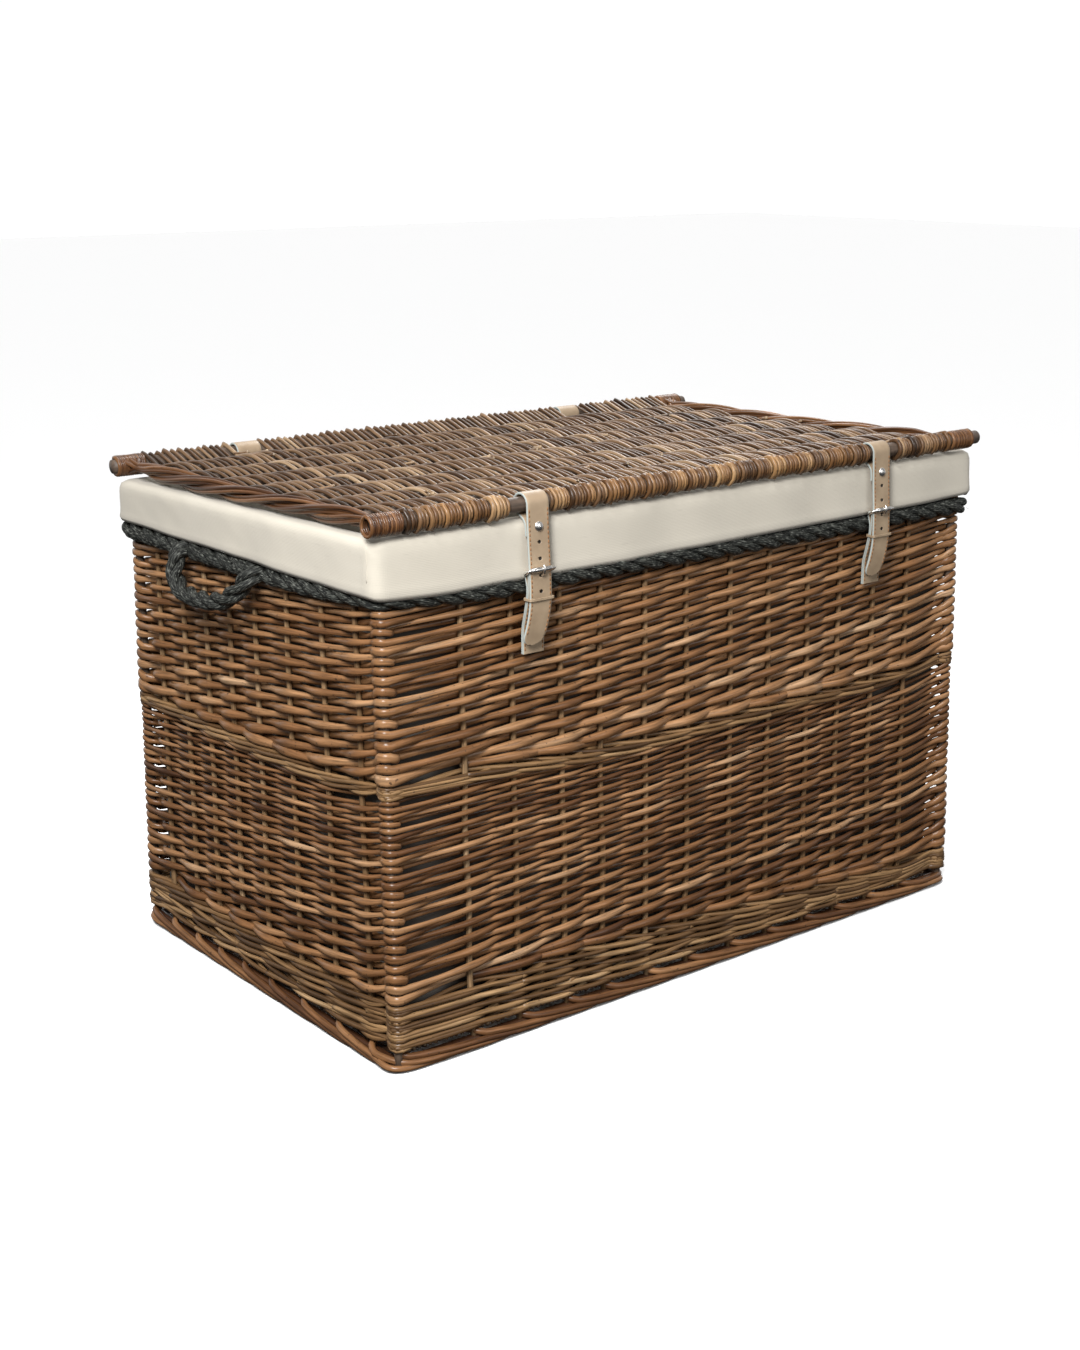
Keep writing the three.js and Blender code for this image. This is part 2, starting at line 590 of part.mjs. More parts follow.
Object.entries(ropePieces()).forEach(([name, solid]) => addPart(name, solid, FINISH.rope));
[['left', -1], ['right', 1]].forEach(([end, side]) => {
  handleLegs.forEach((y, index) => {
    const group = addGroup(side * HALF_LENGTH, y, ROPE_HEIGHT);
    group.rotation.z = side < 0 ? 0 : Math.PI;
    addPart(`handle_knot_${end}_${index ? 'back' : 'front'}`, handleKnot(), FINISH.rope, group);
  });
  const group = addGroup(side * (HALF_LENGTH + HANDLE_AXIS_OUT), HANDLE_CENTRE, ROPE_HEIGHT);
  group.rotation.y = THREE.MathUtils.degToRad(-side * HANDLE_LEAN);
  addPart(`rope_handle_${end}`, ropeHandle(), FINISH.rope, group);
});

const lid = addGroup(0, STICK_Y, BACK_STICK_HEIGHT);
lid.rotation.x = lidTilt;
addPart('lid_weave', lidWeave(), FINISH.lidWillow, lid);
addPart('lid_back_stick', edgeStick([-STICK_END, STICK_END], 0), FINISH.stick, lid);
addPart('lid_front_stick', edgeStick([FRONT_LEFT_STICK_END, STICK_END], -stickSpacing), FINISH.stick, lid);
for (let index = 0; index < LID_STICK_COUNT; index += 1) {
  addPart(`lid_stick_${index + 1}`, lidStick(lidStickY(index)), FINISH.stick, lid);
}
addPart('lid_end_border_left',
  lidEndBorder(LEFT_BORDER, [FRONT_LEFT_WRAP_END, LEFT_BORDER[1]]), FINISH.willow, lid);
addPart('lid_end_border_right', lidEndBorder(RIGHT_BORDER, RIGHT_BORDER), FINISH.willow, lid);

Object.entries(HINGE_X).forEach(([end, x]) => {
  addPart(`hinge_leather_${end}`, hingeLeather(), FINISH.leather, addGroup(x, STICK_Y, BACK_STICK_HEIGHT));
  const rivetSeat = addGroup(x, STICK_Y + LOOP_RADIUS + LEATHER + 0.2, HINGE_RIVET_HEIGHT);
  rivetSeat.rotation.z = Math.PI;
  addPart(`hinge_rivet_${end}`, rivet(22), FINISH.nickel, rivetSeat);
});

Object.entries(STRAP_X).forEach(([end, x]) => {
  const hung = addGroup(x, -STICK_Y, FRONT_STICK_HEIGHT);
  hung.rotation.x = -THREE.MathUtils.degToRad(STRAP_SPREAD);
  addPart(`strap_${end}`, strap(), FINISH.leather, hung);
  const rivetSeat = addGroup(0, -LOOP_RADIUS - LEATHER - 0.2, -21.2, hung);
  addPart(`strap_rivet_${end}`, rivet(2 * LEATHER + 0.6), FINISH.nickel, rivetSeat);

  const place = addGroup(x, 0, 0);
  addPart(`chape_${end}`, chape(), FINISH.leather, place);
  addPart(`keeper_${end}`, keeper(), FINISH.leather, place);
  addPart(`chape_rivet_${end}`, rivet(12), FINISH.nickel, addGroup(CHAPE_RIVET.x, -245.4, CHAPE_RIVET.z, place));
  addPart(`buckle_frame_${end}`, buckleFrame(), FINISH.nickel, place);
  addPart(`buckle_roller_${end}`, roller(), FINISH.nickel, place);
  addPart(`buckle_prong_${end}`, prong(), FINISH.nickel, place);
});

export default trunk;
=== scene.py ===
"""Looks of the wicker storage trunk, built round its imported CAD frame.

Shapes are worked out in millimetres in the frame's axes and become metres when a mesh is made.
The body is drawn as a plain box and then given its splay and sloping rim by body_shape().
The lid is drawn flat, from its back stick's axis towards the front, and then placed by lid_place().
"""

import math

import bpy
import numpy as np
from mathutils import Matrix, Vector


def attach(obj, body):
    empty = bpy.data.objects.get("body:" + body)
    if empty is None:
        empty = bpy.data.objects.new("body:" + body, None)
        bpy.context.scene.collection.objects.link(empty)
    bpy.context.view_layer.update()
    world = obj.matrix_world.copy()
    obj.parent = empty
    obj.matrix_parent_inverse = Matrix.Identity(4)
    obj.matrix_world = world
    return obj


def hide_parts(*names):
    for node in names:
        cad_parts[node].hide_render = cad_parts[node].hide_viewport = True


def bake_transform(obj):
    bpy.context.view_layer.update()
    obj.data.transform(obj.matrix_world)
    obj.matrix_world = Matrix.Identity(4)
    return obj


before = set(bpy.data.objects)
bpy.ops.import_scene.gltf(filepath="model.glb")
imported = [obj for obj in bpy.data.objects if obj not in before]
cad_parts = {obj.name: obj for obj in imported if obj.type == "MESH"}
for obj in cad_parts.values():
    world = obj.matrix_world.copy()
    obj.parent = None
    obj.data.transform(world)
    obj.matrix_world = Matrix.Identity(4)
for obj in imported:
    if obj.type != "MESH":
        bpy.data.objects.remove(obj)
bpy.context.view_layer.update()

# ---------------------------------------------------------------- driving dimensions, in millimetres

HALF_LENGTH = 400.0
HALF_DEPTH = 236.5
RIM = 510.0
SPLAY = 14.4
RIM_SLOPE = 5.0
HEM = 465.5
NEAR_CORNER = (-400.0, -236.5)
LINING_TOP = 512.0

STAKE_INSET = 8.0
STAKE_RADIUS = 2.8
POST_INSET = 9.0
POST_RADIUS = 4.2
FRONT_STAKES = (-304, -245, -185, -135, -76, -19, 43, 99, 158, 207, 261, 317)
END_STAKES = (-188, -131, -69, -10, 40, 88, 134, 185)

FOOT_TOP = 18.0
UPPER_WEAVE_TOP = 495.0
WALE_HEIGHT = 12.0
UPPER_ROWS = 30
LOWER_ROWS = 32
WEAVE_RIDE = 1.1
UPPER_TAPER = (4.55, 2.75)
LOWER_TAPER = (3.9, 2.2)
UPPER_TONES = (0.44, 0.74)
LOWER_TONES = (0.30, 0.66)
MID_WALE_RADIUS = 2.3
BOTTOM_WALE_RADIUS = 2.75
BOTTOM_WALE_ROWS = 5
BASE_STICKS = 5
BASE_STICK_STEP = 92.0

ROPE_RADIUS = 9.5
ROPE_HEIGHT = 455.5
ROPE_OUT = 1.0
ROPE_CORNER = 13.0
ROPE_PITCH = 82.0
ROPE_YARN_ANGLE = math.radians(24)
HANDLE_CENTRE = 31.0
HANDLE_SPREAD = 142.0
HANDLE_LEAN = math.radians(20)
HANDLE_AXIS_OUT = 12.0

STICK_Y = 240.7
BACK_STICK_HEIGHT = 521.6
FRONT_STICK_HEIGHT = 531.7
STICK_RADIUS = 8.3
STICK_WOOD = STICK_RADIUS - 0.9
LID_SAG = 3.5
STICK_SPACING = math.hypot(2 * STICK_Y, FRONT_STICK_HEIGHT - BACK_STICK_HEIGHT)
LID_TILT = -math.atan2(FRONT_STICK_HEIGHT - BACK_STICK_HEIGHT, 2 * STICK_Y)
LID_STICKS = 7
LID_STICK_RADIUS = 3.4
LID_STUBS = 46
BORDER_RODS = 15
BORDER_STRANDS = 3
BORDER_ROD_RADIUS = 1.95
WEAVE_SPAN = (-375.0, 358.0)
LEFT_BORDER = (-403.0, -377.0)
RIGHT_BORDER = (360.0, 386.0)

STRAP_X = {"left": -228.0, "right": 243.0}
HINGE_X = {"left": -250.0, "right": 208.0}
STRAP_HALF_WIDTH = 13.0
CHAPE_HALF_WIDTH = 12.6
HINGE_HALF_WIDTH = 15.0
LEATHER = 2.3
CHAPE_LEATHER = 1.75
LOOP_RADIUS = 9.0
STRAP_HOLES = (34.7, 50.2, 81.2)
PRONG_HOLE = 65.7
REAR_BAR = (-249.8, 467.0)
FRONT_BAR = (-258.5, 472.0)
KEEPER_HEIGHT = 443.5
FRAME_HALF_WIDTH = 15.2
BAR_RADIUS = 1.45

rng = np.random.default_rng(11)


# ---------------------------------------------------------------- curves

def waves(t, cycles, amount):
    """A smooth random curve over t in 0..1, made of whole cycles so that it closes on itself."""
    total = np.zeros_like(np.asarray(t, float))
    for cycle in range(1, cycles + 1):
        total += rng.normal() * np.sin(2 * np.pi * (cycle * t + rng.random()))
    return amount * total / math.sqrt(cycles)


def spline(points, steps):
    """A Catmull-Rom curve through the points, with `steps` samples from each to the next."""
    p = np.asarray(points, float)
    p = np.vstack([2 * p[0] - p[1], p, 2 * p[-1] - p[-2]])
    t = np.arange(steps)[None, :, None] / steps
    a, b, c, d = (p[k:len(p) - 3 + k][:, None, :] for k in range(4))
    curve = 0.5 * (2 * b + (c - a) * t + (2 * a - 5 * b + 4 * c - d) * t ** 2
                   + (3 * b - a - 3 * c + d) * t ** 3)
    return np.vstack([curve.reshape(-1, p.shape[1]), p[-2][None]])


def unit(vectors):
    return vectors / np.maximum(np.linalg.norm(vectors, axis=-1, keepdims=True), 1e-9)


def along(line):
    """Distance along a line at each of its points."""
    return np.concatenate([[0], np.cumsum(np.linalg.norm(np.diff(line, axis=0), axis=1))])


def resample(line, step):
    """The same line with points about `step` apart; columns after the third are carried along."""
    s = along(line[:, :3])
    count = max(2, int(round(s[-1] / step)) + 1)
    even = np.linspace(0, s[-1], count)
    return np.stack([np.interp(even, s, line[:, k]) for k in range(line.shape[1])], axis=1)


def body_shape(points):
    """The body's splay below the rim and its rim that is higher at the front."""
    p = np.array(points, float)
    p[..., 1] *= 1 + (SPLAY / HALF_DEPTH) * (1 - p[..., 2] / RIM)
    above = np.clip((p[..., 2] - HEM) / (LINING_TOP - HEM), 0, None)
    p[..., 2] -= RIM_SLOPE * (p[..., 1] / HALF_DEPTH) * above
    return p


def lid_place(points):
    """From the flat lid's own axes to the frame's."""
    p = np.array(points, float)
    c, s = math.cos(LID_TILT), math.sin(LID_TILT)
    sag = LID_SAG * np.sin(np.pi * np.clip(-p[..., 1] / STICK_SPACING, 0, 1))
    y = p[..., 1] * c - p[..., 2] * s + STICK_Y
    z = p[..., 1] * s + p[..., 2] * c + BACK_STICK_HEIGHT - sag
    return np.stack([p[..., 0], y, z], axis=-1)


# ---------------------------------------------------------------- meshes

def object_of(name, mesh, material):
    piece = bpy.data.objects.new(name, mesh)
    bpy.context.scene.collection.objects.link(piece)
    for one in material if isinstance(material, (list, tuple)) else [material]:
        mesh.materials.append(one)
    return piece


def belongs(piece, body, slot, *nodes):
    """Ties a piece to its CAD body and hides the CAD nodes that it stands for; its material slot is not used.
    """
    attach(piece, body)
    if nodes:
        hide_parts(*nodes)
    return piece


def grid_mesh(name, points, uv, material, close_u=False):
    """A mesh from a grid of points (rows, columns, 3). close_u joins the last column to the first."""
    rows, columns = points.shape[:2]
    index = np.arange(rows * columns).reshape(rows, columns)
    right = np.roll(index, -1, axis=1) if close_u else index[:, 1:]
    left = index if close_u else index[:, :-1]
    quads = np.stack([left[:-1], right[:-1], right[1:], left[1:]], axis=-1).reshape(-1, 4)
    mesh = bpy.data.meshes.new(name)
    mesh.from_pydata((points.reshape(-1, 3) * 0.001).tolist(), [], quads.tolist())
    layer = mesh.uv_layers.new(name="UVMap")
    flat_uv = uv.reshape(-1, 2)
    corner = np.zeros(len(mesh.loops), np.int32)
    mesh.loops.foreach_get("vertex_index", corner)
    layer.data.foreach_set("uv", flat_uv[corner].astype(np.float32).ravel())
    mesh.shade_smooth()
    return object_of(name, mesh, material)


class Rods:
    """Round rods gathered into one mesh.

    UV u runs round a rod and v along it, in metres. The colour attribute "rod" holds the rod's tone in
    red, in green a tint that is the wales' own colour and painted light on the lid's wraps round the front
    stick, and how much of its end shows bare wood in blue.
    """

    def __init__(self, sides=9):
        self.sides = sides
        self.points = []
        self.loops = []
        self.totals = []
        self.uvs = []
        self.tones = []
        self.count = 0

    def add(self, line, radius, tone=None, hue=0.0, up=(0, 0, 1), flat=1.0, pith=True):
        line = np.asarray(line, float)
        n, sides = len(line), self.sides
        radius = np.broadcast_to(np.asarray(radius, float), (n,))
        flat = np.broadcast_to(np.asarray(flat, float), (n,))
        forward = unit(np.gradient(line, axis=0))
        side = unit(np.cross(forward, np.broadcast_to(np.asarray(up, float), (n, 3))))
        top = np.cross(side, forward)
        angle = np.pi + 2 * np.pi * np.arange(sides) / sides
        ring = (side[:, None] * (flat[:, None] * np.cos(angle)[None, :])[:, :, None]
                + top[:, None] * np.sin(angle)[None, :, None])
        skin = (line[:, None] + ring * radius[:, None, None]).reshape(-1, 3)
        ends = np.stack([line[0] - forward[0] * radius[0] * 0.15, line[-1] + forward[-1] * radius[-1] * 0.15])
        self.points.append(np.vstack([skin, ends]))

        tone = rng.random() if tone is None else tone
        colour = np.zeros((n * sides + 2, 4))
        colour[:, 0] = tone
        # Green: the wales' own tint, and painted light on the lid's wraps round the front stick.
        colour[:-2, 1] = np.repeat(np.broadcast_to(np.asarray(hue, float), (n,)), sides)
        colour[-2:, 2] = 1.0 if pith else 0.0
        colour[:, 3] = 1.0
        self.tones.append(colour)

        base = self.count
        grid = base + np.arange(n * sides).reshape(n, sides)
        nxt = np.roll(grid, -1, axis=1)
        quads = np.stack([grid[:-1], grid[1:], nxt[1:], nxt[:-1]], axis=-1).reshape(-1, 4)
        start = np.stack([np.full(sides, base + n * sides), grid[0], nxt[0]], axis=-1)
        stop = np.stack([np.full(sides, base + n * sides + 1), nxt[-1], grid[-1]], axis=-1)
        self.loops.append(quads.ravel())
        self.loops.append(start.ravel())
        self.loops.append(stop.ravel())
        self.totals.append(np.full(len(quads), 4))
        self.totals.append(np.full(2 * sides, 3))

        v = along(line) * 0.001 + rng.random() * 10
        u = np.arange(sides) / sides
        u_next = u + 1 / sides
        v0, v1 = v[:-1, None], v[1:, None]
        shape = (n - 1, sides)
        corner_u = np.stack([np.broadcast_to(x, shape) for x in (u, u, u_next, u_next)], axis=-1)
        corner_v = np.stack([np.broadcast_to(x, shape) for x in (v0, v1, v1, v0)], axis=-1)
        self.uvs.append(np.stack([corner_u, corner_v], axis=-1).reshape(-1, 2))
        for height in (v[0], v[-1]):
            fan = np.stack([u, u_next, u], axis=-1)
            self.uvs.append(np.stack([fan, np.full_like(fan, height)], axis=-1).reshape(-1, 2))
        self.count += n * sides + 2

    def build(self, name, material):
        points = np.concatenate(self.points) * 0.001
        loops = np.concatenate(self.loops)
        totals = np.concatenate(self.totals)
        mesh = bpy.data.meshes.new(name)
        mesh.vertices.add(len(points))
        mesh.vertices.foreach_set("co", points.astype(np.float32).ravel())
        mesh.loops.add(len(loops))
        mesh.loops.foreach_set("vertex_index", loops.astype(np.int32))
        mesh.polygons.add(len(totals))
        starts = np.concatenate([[0], np.cumsum(totals)[:-1]])
        mesh.polygons.foreach_set("loop_start", starts.astype(np.int32))
        mesh.polygons.foreach_set("loop_total", totals.astype(np.int32))
        layer = mesh.uv_layers.new(name="UVMap")
        layer.data.foreach_set("uv", np.concatenate(self.uvs).astype(np.float32).ravel())
        attribute = mesh.color_attributes.new("rod", "FLOAT_COLOR", "POINT")
        attribute.data.foreach_set("color", np.concatenate(self.tones).astype(np.float32).ravel())
        mesh.update(calc_edges=True)
        mesh.shade_smooth()
        return object_of(name, mesh, material)


# ---------------------------------------------------------------- materials

def new_material(name):
    material = bpy.data.materials.new(name)
    material.use_nodes = True
    nodes, links = material.node_tree.nodes, material.node_tree.links
    return material, nodes, links, nodes["Principled BSDF"]


def colour_ramp(nodes, stops):
    ramp = nodes.new("ShaderNodeValToRGB")
    elements = ramp.color_ramp.elements
    while len(elements) < len(stops):
        elements.new(0.5)
    for element, (position, colour) in zip(elements, stops):
        element.position = position
        element.color = (*colour, 1)
    return ramp


def uv_noise(nodes, links, scale, detail=3.0, roughness=0.55):
    """Noise over the rods' own UVs, stretched by scale = (round, along)."""
    uv = nodes.new("ShaderNodeUVMap")
    mapping = nodes.new("ShaderNodeMapping")
    mapping.inputs["Scale"].default_value = (scale[0], scale[1], 1)
    noise = nodes.new("ShaderNodeTexNoise")
    noise.inputs["Scale"].default_value = 1.0
    noise.inputs["Detail"].default_value = detail
    noise.inputs["Roughness"].default_value = roughness
    links.new(uv.outputs[0], mapping.inputs[0])
    links.new(mapping.outputs[0], noise.inputs["Vector"])
    return noise.outputs["Fac"]


def map_range(nodes, links, value, low, high, to_low, to_high):
    node = nodes.new("ShaderNodeMapRange")
    node.inputs["From Min"].default_value = low
    node.inputs["From Max"].default_value = high
    node.inputs["To Min"].default_value = to_low
    node.inputs["To Max"].default_value = to_high
    links.new(value, node.inputs["Value"])
    return node.outputs[0]


def math_node(nodes, links, operation, a, b):
    node = nodes.new("ShaderNodeMath")
    node.operation = operation
    for socket, value in zip(node.inputs, (a, b)):
        if isinstance(value, (int, float)):
            socket.default_value = value
        else:
            links.new(value, socket)
    return node.outputs[0]


def mix_colour(nodes, links, factor, a, b, blend="MIX"):
    node = nodes.new("ShaderNodeMix")
    node.data_type = "RGBA"
    node.blend_type = blend
    for socket, value in zip((node.inputs[0], node.inputs[6], node.inputs[7]), (factor, a, b)):
        if isinstance(value, (int, float)):
            socket.default_value = value
        elif isinstance(value, tuple):
            socket.default_value = (*value, 1)
        else:
            links.new(value, socket)
    return node.outputs[2]


def willow_material(name, stops, roughness, specks=0.75):
    """Bark on a willow rod: a tone for each rod, drifting along it, with fine streaks and dark specks."""
    material, nodes, links, shader = new_material(name)
    attribute = nodes.new("ShaderNodeAttribute")
    attribute.attribute_name = "rod"
    split = nodes.new("ShaderNodeSeparateColor")
    links.new(attribute.outputs["Color"], split.inputs[0])
    drift = uv_noise(nodes, links, (0.6, 9), 2)
    tone = math_node(nodes, links, "ADD", split.outputs[0],
                     map_range(nodes, links, drift, 0.3, 0.7, -0.15, 0.15))
    ramp = colour_ramp(nodes, stops)
    links.new(tone, ramp.inputs[0])
    streak = uv_noise(nodes, links, (11, 26), 4, 0.65)
    streak_shade = map_range(nodes, links, streak, 0.3, 0.7, 0.46, 1.46)
    grey = nodes.new("ShaderNodeCombineColor")
    for k in range(3):
        links.new(streak_shade, grey.inputs[k])
    shaded = mix_colour(nodes, links, 1.0, ramp.outputs[0], grey.outputs[0], "MULTIPLY")
    fleck = uv_noise(nodes, links, (5, 210), 2, 0.5)
    fleck_mask = map_range(nodes, links, fleck, 0.66, 0.72, 0.0, specks)
    dark = mix_colour(nodes, links, fleck_mask, shaded, (0.018, 0.011, 0.008))
    # The green channel tints towards brighter orange: the wales' own colour, and painted light on the lid's
    # front wraps.
    tint_and_painted_light = mix_colour(nodes, links, split.outputs[1], (1.0, 1.0, 1.0), (1.30, 1.14, 0.84))
    tinted_and_painted_light = mix_colour(nodes, links, 1.0, dark, tint_and_painted_light, "MULTIPLY")
    bare = mix_colour(nodes, links, split.outputs[2], tinted_and_painted_light, (0.42, 0.33, 0.22))
    links.new(bare, shader.inputs["Base Color"])
    rough = map_range(nodes, links, streak, 0.3, 0.7, roughness, roughness + 0.14)
    links.new(rough, shader.inputs["Roughness"])
    shader.inputs["Specular IOR Level"].default_value = 0.36
    bump = nodes.new("ShaderNodeBump")
    bump.inputs["Strength"].default_value = 0.35
    bump.inputs["Distance"].default_value = 0.0004
    links.new(streak, bump.inputs["Height"])
    links.new(bump.outputs[0], shader.inputs["Normal"])
    return material


def rope_material():
    """Dark yarns that run along the rope, slantwise over each strand, with paler fibres and painted shade in
    the grooves.
    """
    material, nodes, links, shader = new_material("rope")
    uv = nodes.new("ShaderNodeUVMap")
    turned = nodes.new("ShaderNodeMapping")
    turned.inputs["Scale"].default_value = (28, 1000, 1)
    turned.inputs["Rotation"].default_value = (0, 0, ROPE_YARN_ANGLE)
    links.new(uv.outputs[0], turned.inputs[0])
    layers = []
    for scale in ((0.85, 0.10, 1), (1.5, 0.16, 1)):
        stretched = nodes.new("ShaderNodeMapping")
        stretched.inputs["Scale"].default_value = scale
        links.new(turned.outputs[0], stretched.inputs[0])
        noise = nodes.new("ShaderNodeTexNoise")
        noise.inputs["Scale"].default_value = 1.0
        noise.inputs["Detail"].default_value = 2.0
        links.new(stretched.outputs[0], noise.inputs["Vector"])
        layers.append(noise.outputs["Fac"])
    # Partly painted shade: the ramp follows the bump's height, so the really dark yarns go nearly black in
    # the grooves.
    ramp = colour_ramp(nodes, [(0.38, (0.0025, 0.0028, 0.0025)), (0.53, (0.010, 0.011, 0.0095)),
                               (0.66, (0.050, 0.053, 0.046))])
    links.new(layers[0], ramp.inputs[0])
    mask = map_range(nodes, links, layers[1], 0.56, 0.66, 0.0, 0.75)
    colour = mix_colour(nodes, links, mask, ramp.outputs[0], (0.20, 0.205, 0.180))
    links.new(colour, shader.inputs["Base Color"])
    shader.inputs["Roughness"].default_value = 0.6
    shader.inputs["Specular IOR Level"].default_value = 0.25
    bump = nodes.new("ShaderNodeBump")
    bump.inputs["Strength"].default_value = 1.0
    bump.inputs["Distance"].default_value = 0.0016
    links.new(layers[0], bump.inputs["Height"])
    links.new(bump.outputs[0], shader.inputs["Normal"])
    return material


def cotton_material(name, low, high):
    """Plain-woven unbleached cotton: a fine crossed weave and faint slubs."""
    material, nodes, links, shader = new_material(name)
    uv = nodes.new("ShaderNodeUVMap")
    heights = []
    for direction in ("X", "Y"):
        wave = nodes.new("ShaderNodeTexWave")
        wave.wave_type = "BANDS"
        wave.bands_direction = direction
        wave.inputs["Scale"].default_value = 260.0
        wave.inputs["Distortion"].default_value = 1.2
        wave.inputs["Detail"].default_value = 1.0
        wave.inputs["Detail Scale"].default_value = 0.6
        links.new(uv.outputs[0], wave.inputs["Vector"])
        heights.append(wave.outputs["Fac"])
    weave = math_node(nodes, links, "ADD", heights[0], heights[1])
    slub = uv_noise(nodes, links, (55, 420), 3)
    cloud = uv_noise(nodes, links, (7, 7), 3)
    ramp = colour_ramp(nodes, [(0.3, low), (0.7, high)])
    links.new(cloud, ramp.inputs[0])
    slub_mask = map_range(nodes, links, slub, 0.62, 0.75, 0.0, 0.35)
    slub_colour = tuple(0.8 * part for part in low)
    colour = mix_colour(nodes, links, slub_mask, ramp.outputs[0], slub_colour)
    links.new(colour, shader.inputs["Base Color"])
    shader.inputs["Roughness"].default_value = 0.92
    shader.inputs["Sheen Weight"].default_value = 0.15
    bump = nodes.new("ShaderNodeBump")
    bump.inputs["Strength"].default_value = 0.25
    bump.inputs["Distance"].default_value = 0.0003
    links.new(weave, bump.inputs["Height"])
    links.new(bump.outputs[0], shader.inputs["Normal"])
    return material


def leather_material(name, low, high, roughness):
    material, nodes, links, shader = new_material(name)
    geometry = nodes.new("ShaderNodeTexCoord")
    noise = nodes.new("ShaderNodeTexNoise")
    noise.inputs["Scale"].default_value = 60.0
    noise.inputs["Detail"].default_value = 4.0
    links.new(geometry.outputs["Object"], noise.inputs["Vector"])
    ramp = colour_ramp(nodes, [(0.3, low), (0.7, high)])
    links.new(noise.outputs["Fac"], ramp.inputs[0])
    links.new(ramp.outputs[0], shader.inputs["Base Color"])
    shader.inputs["Roughness"].default_value = roughness
    cells = nodes.new("ShaderNodeTexVoronoi")
    cells.inputs["Scale"].default_value = 1300.0
    links.new(geometry.outputs["Object"], cells.inputs["Vector"])
    bump = nodes.new("ShaderNodeBump")
    bump.inputs["Strength"].default_value = 0.25
    bump.inputs["Distance"].default_value = 0.0002
    links.new(cells.outputs["Distance"], bump.inputs["Height"])
    links.new(bump.outputs[0], shader.inputs["Normal"])
    return material


def plain_material(name, colour, roughness, metallic=0.0):
    material, _, _, shader = new_material(name)
    shader.inputs["Base Color"].default_value = (*colour, 1)
    shader.inputs["Roughness"].default_value = roughness
    shader.inputs["Metallic"].default_value = metallic
    return material


WILLOW = willow_material("willow", [
    (0.0, (0.045, 0.018, 0.008)), (0.25, (0.110, 0.048, 0.019)), (0.5, (0.200, 0.095, 0.039)),
    (0.75, (0.300, 0.160, 0.075)), (1.0, (0.43, 0.285, 0.17))], 0.25)
WILLOW_GREY = willow_material("willow_grey", [
    (0.0, (0.045, 0.023, 0.010)), (0.4, (0.125, 0.070, 0.032)), (0.75, (0.225, 0.138, 0.069)),
    (1.0, (0.34, 0.235, 0.138))], 0.32)
WILLOW_LID = willow_material("willow_lid", [
    (0.0, (0.026, 0.013, 0.006)), (0.35, (0.085, 0.044, 0.021)), (0.7, (0.185, 0.110, 0.058)),
    (1.0, (0.34, 0.235, 0.140))], 0.31)
STICK = willow_material("stick", [
    (0.0, (0.05, 0.034, 0.025)), (0.5, (0.12, 0.085, 0.062)), (1.0, (0.22, 0.16, 0.115))], 0.45)
ROPE = rope_material()
COTTON = cotton_material("cotton", (0.465, 0.428, 0.358), (0.515, 0.475, 0.40))
# Painted shade: near-black cotton for the lining's side towards the wall, which shows through the weave's
# gaps.
COTTON_PAINTED_SHADE = cotton_material("cotton_painted_shade", (0.050, 0.042, 0.034), (0.075, 0.064, 0.052))
LEATHER_FACE = leather_material("leather", (0.27, 0.195, 0.125), (0.35, 0.26, 0.17), 0.5)
LEATHER_EDGE = plain_material("leather_edge", (0.33, 0.36, 0.34), 0.7)
THREAD = plain_material("thread", (0.24, 0.105, 0.035), 0.7)
NICKEL = plain_material("nickel", (0.80, 0.785, 0.76), 0.26, 1.0)
# Painted shade: near black, left by the cutters on the walls that they cut in the leather.
HOLE_PAINTED_SHADE = plain_material("hole_painted_shade", (0.012, 0.009, 0.007), 0.8)

# ---------------------------------------------------------------- camera, light and floor

def make_camera():
    data = bpy.data.cameras.new("camera")
    camera = bpy.data.objects.new("camera", data)
    bpy.context.scene.collection.objects.link(camera)
    data.sensor_width = 36.0
    data.lens = 51.35
    data.shift_x = -0.0063
    data.shift_y = 0.043
    data.clip_start = 0.05
    data.clip_end = 50
    camera.location = (-1.3252, -1.6267, 0.8616)
    yaw, pitch = math.radians(38.905), math.radians(17.392)
    ahead = Vector((math.sin(yaw) * math.cos(pitch), math.cos(yaw) * math.cos(pitch), -math.sin(pitch)))
    camera.rotation_mode = "QUATERNION"
    camera.rotation_quaternion = ahead.to_track_quat("-Z", "Y")
    bpy.context.scene.camera = camera


def area_light(name, place, target, size, power):
    data = bpy.data.lights.new(name, "AREA")
    data.shape = "RECTANGLE"
    data.size, data.size_y = size
    data.energy = power
    lamp = bpy.data.objects.new(name, data)
    bpy.context.scene.collection.objects.link(lamp)
    lamp.location = place
    direction = Vector(target) - Vector(place)
    lamp.rotation_mode = "QUATERNION"
    lamp.rotation_quaternion = direction.to_track_quat("-Z", "Y")


def sun_light(name, direction, power, softness):
    data = bpy.data.lights.new(name, "SUN")
    data.energy = power
    data.angle = math.radians(softness)
    lamp = bpy.data.objects.new(name, data)
    bpy.context.scene.collection.objects.link(lamp)
    lamp.rotation_mode = "QUATERNION"
    lamp.rotation_quaternion = Vector(direction).to_track_quat("-Z", "Y")


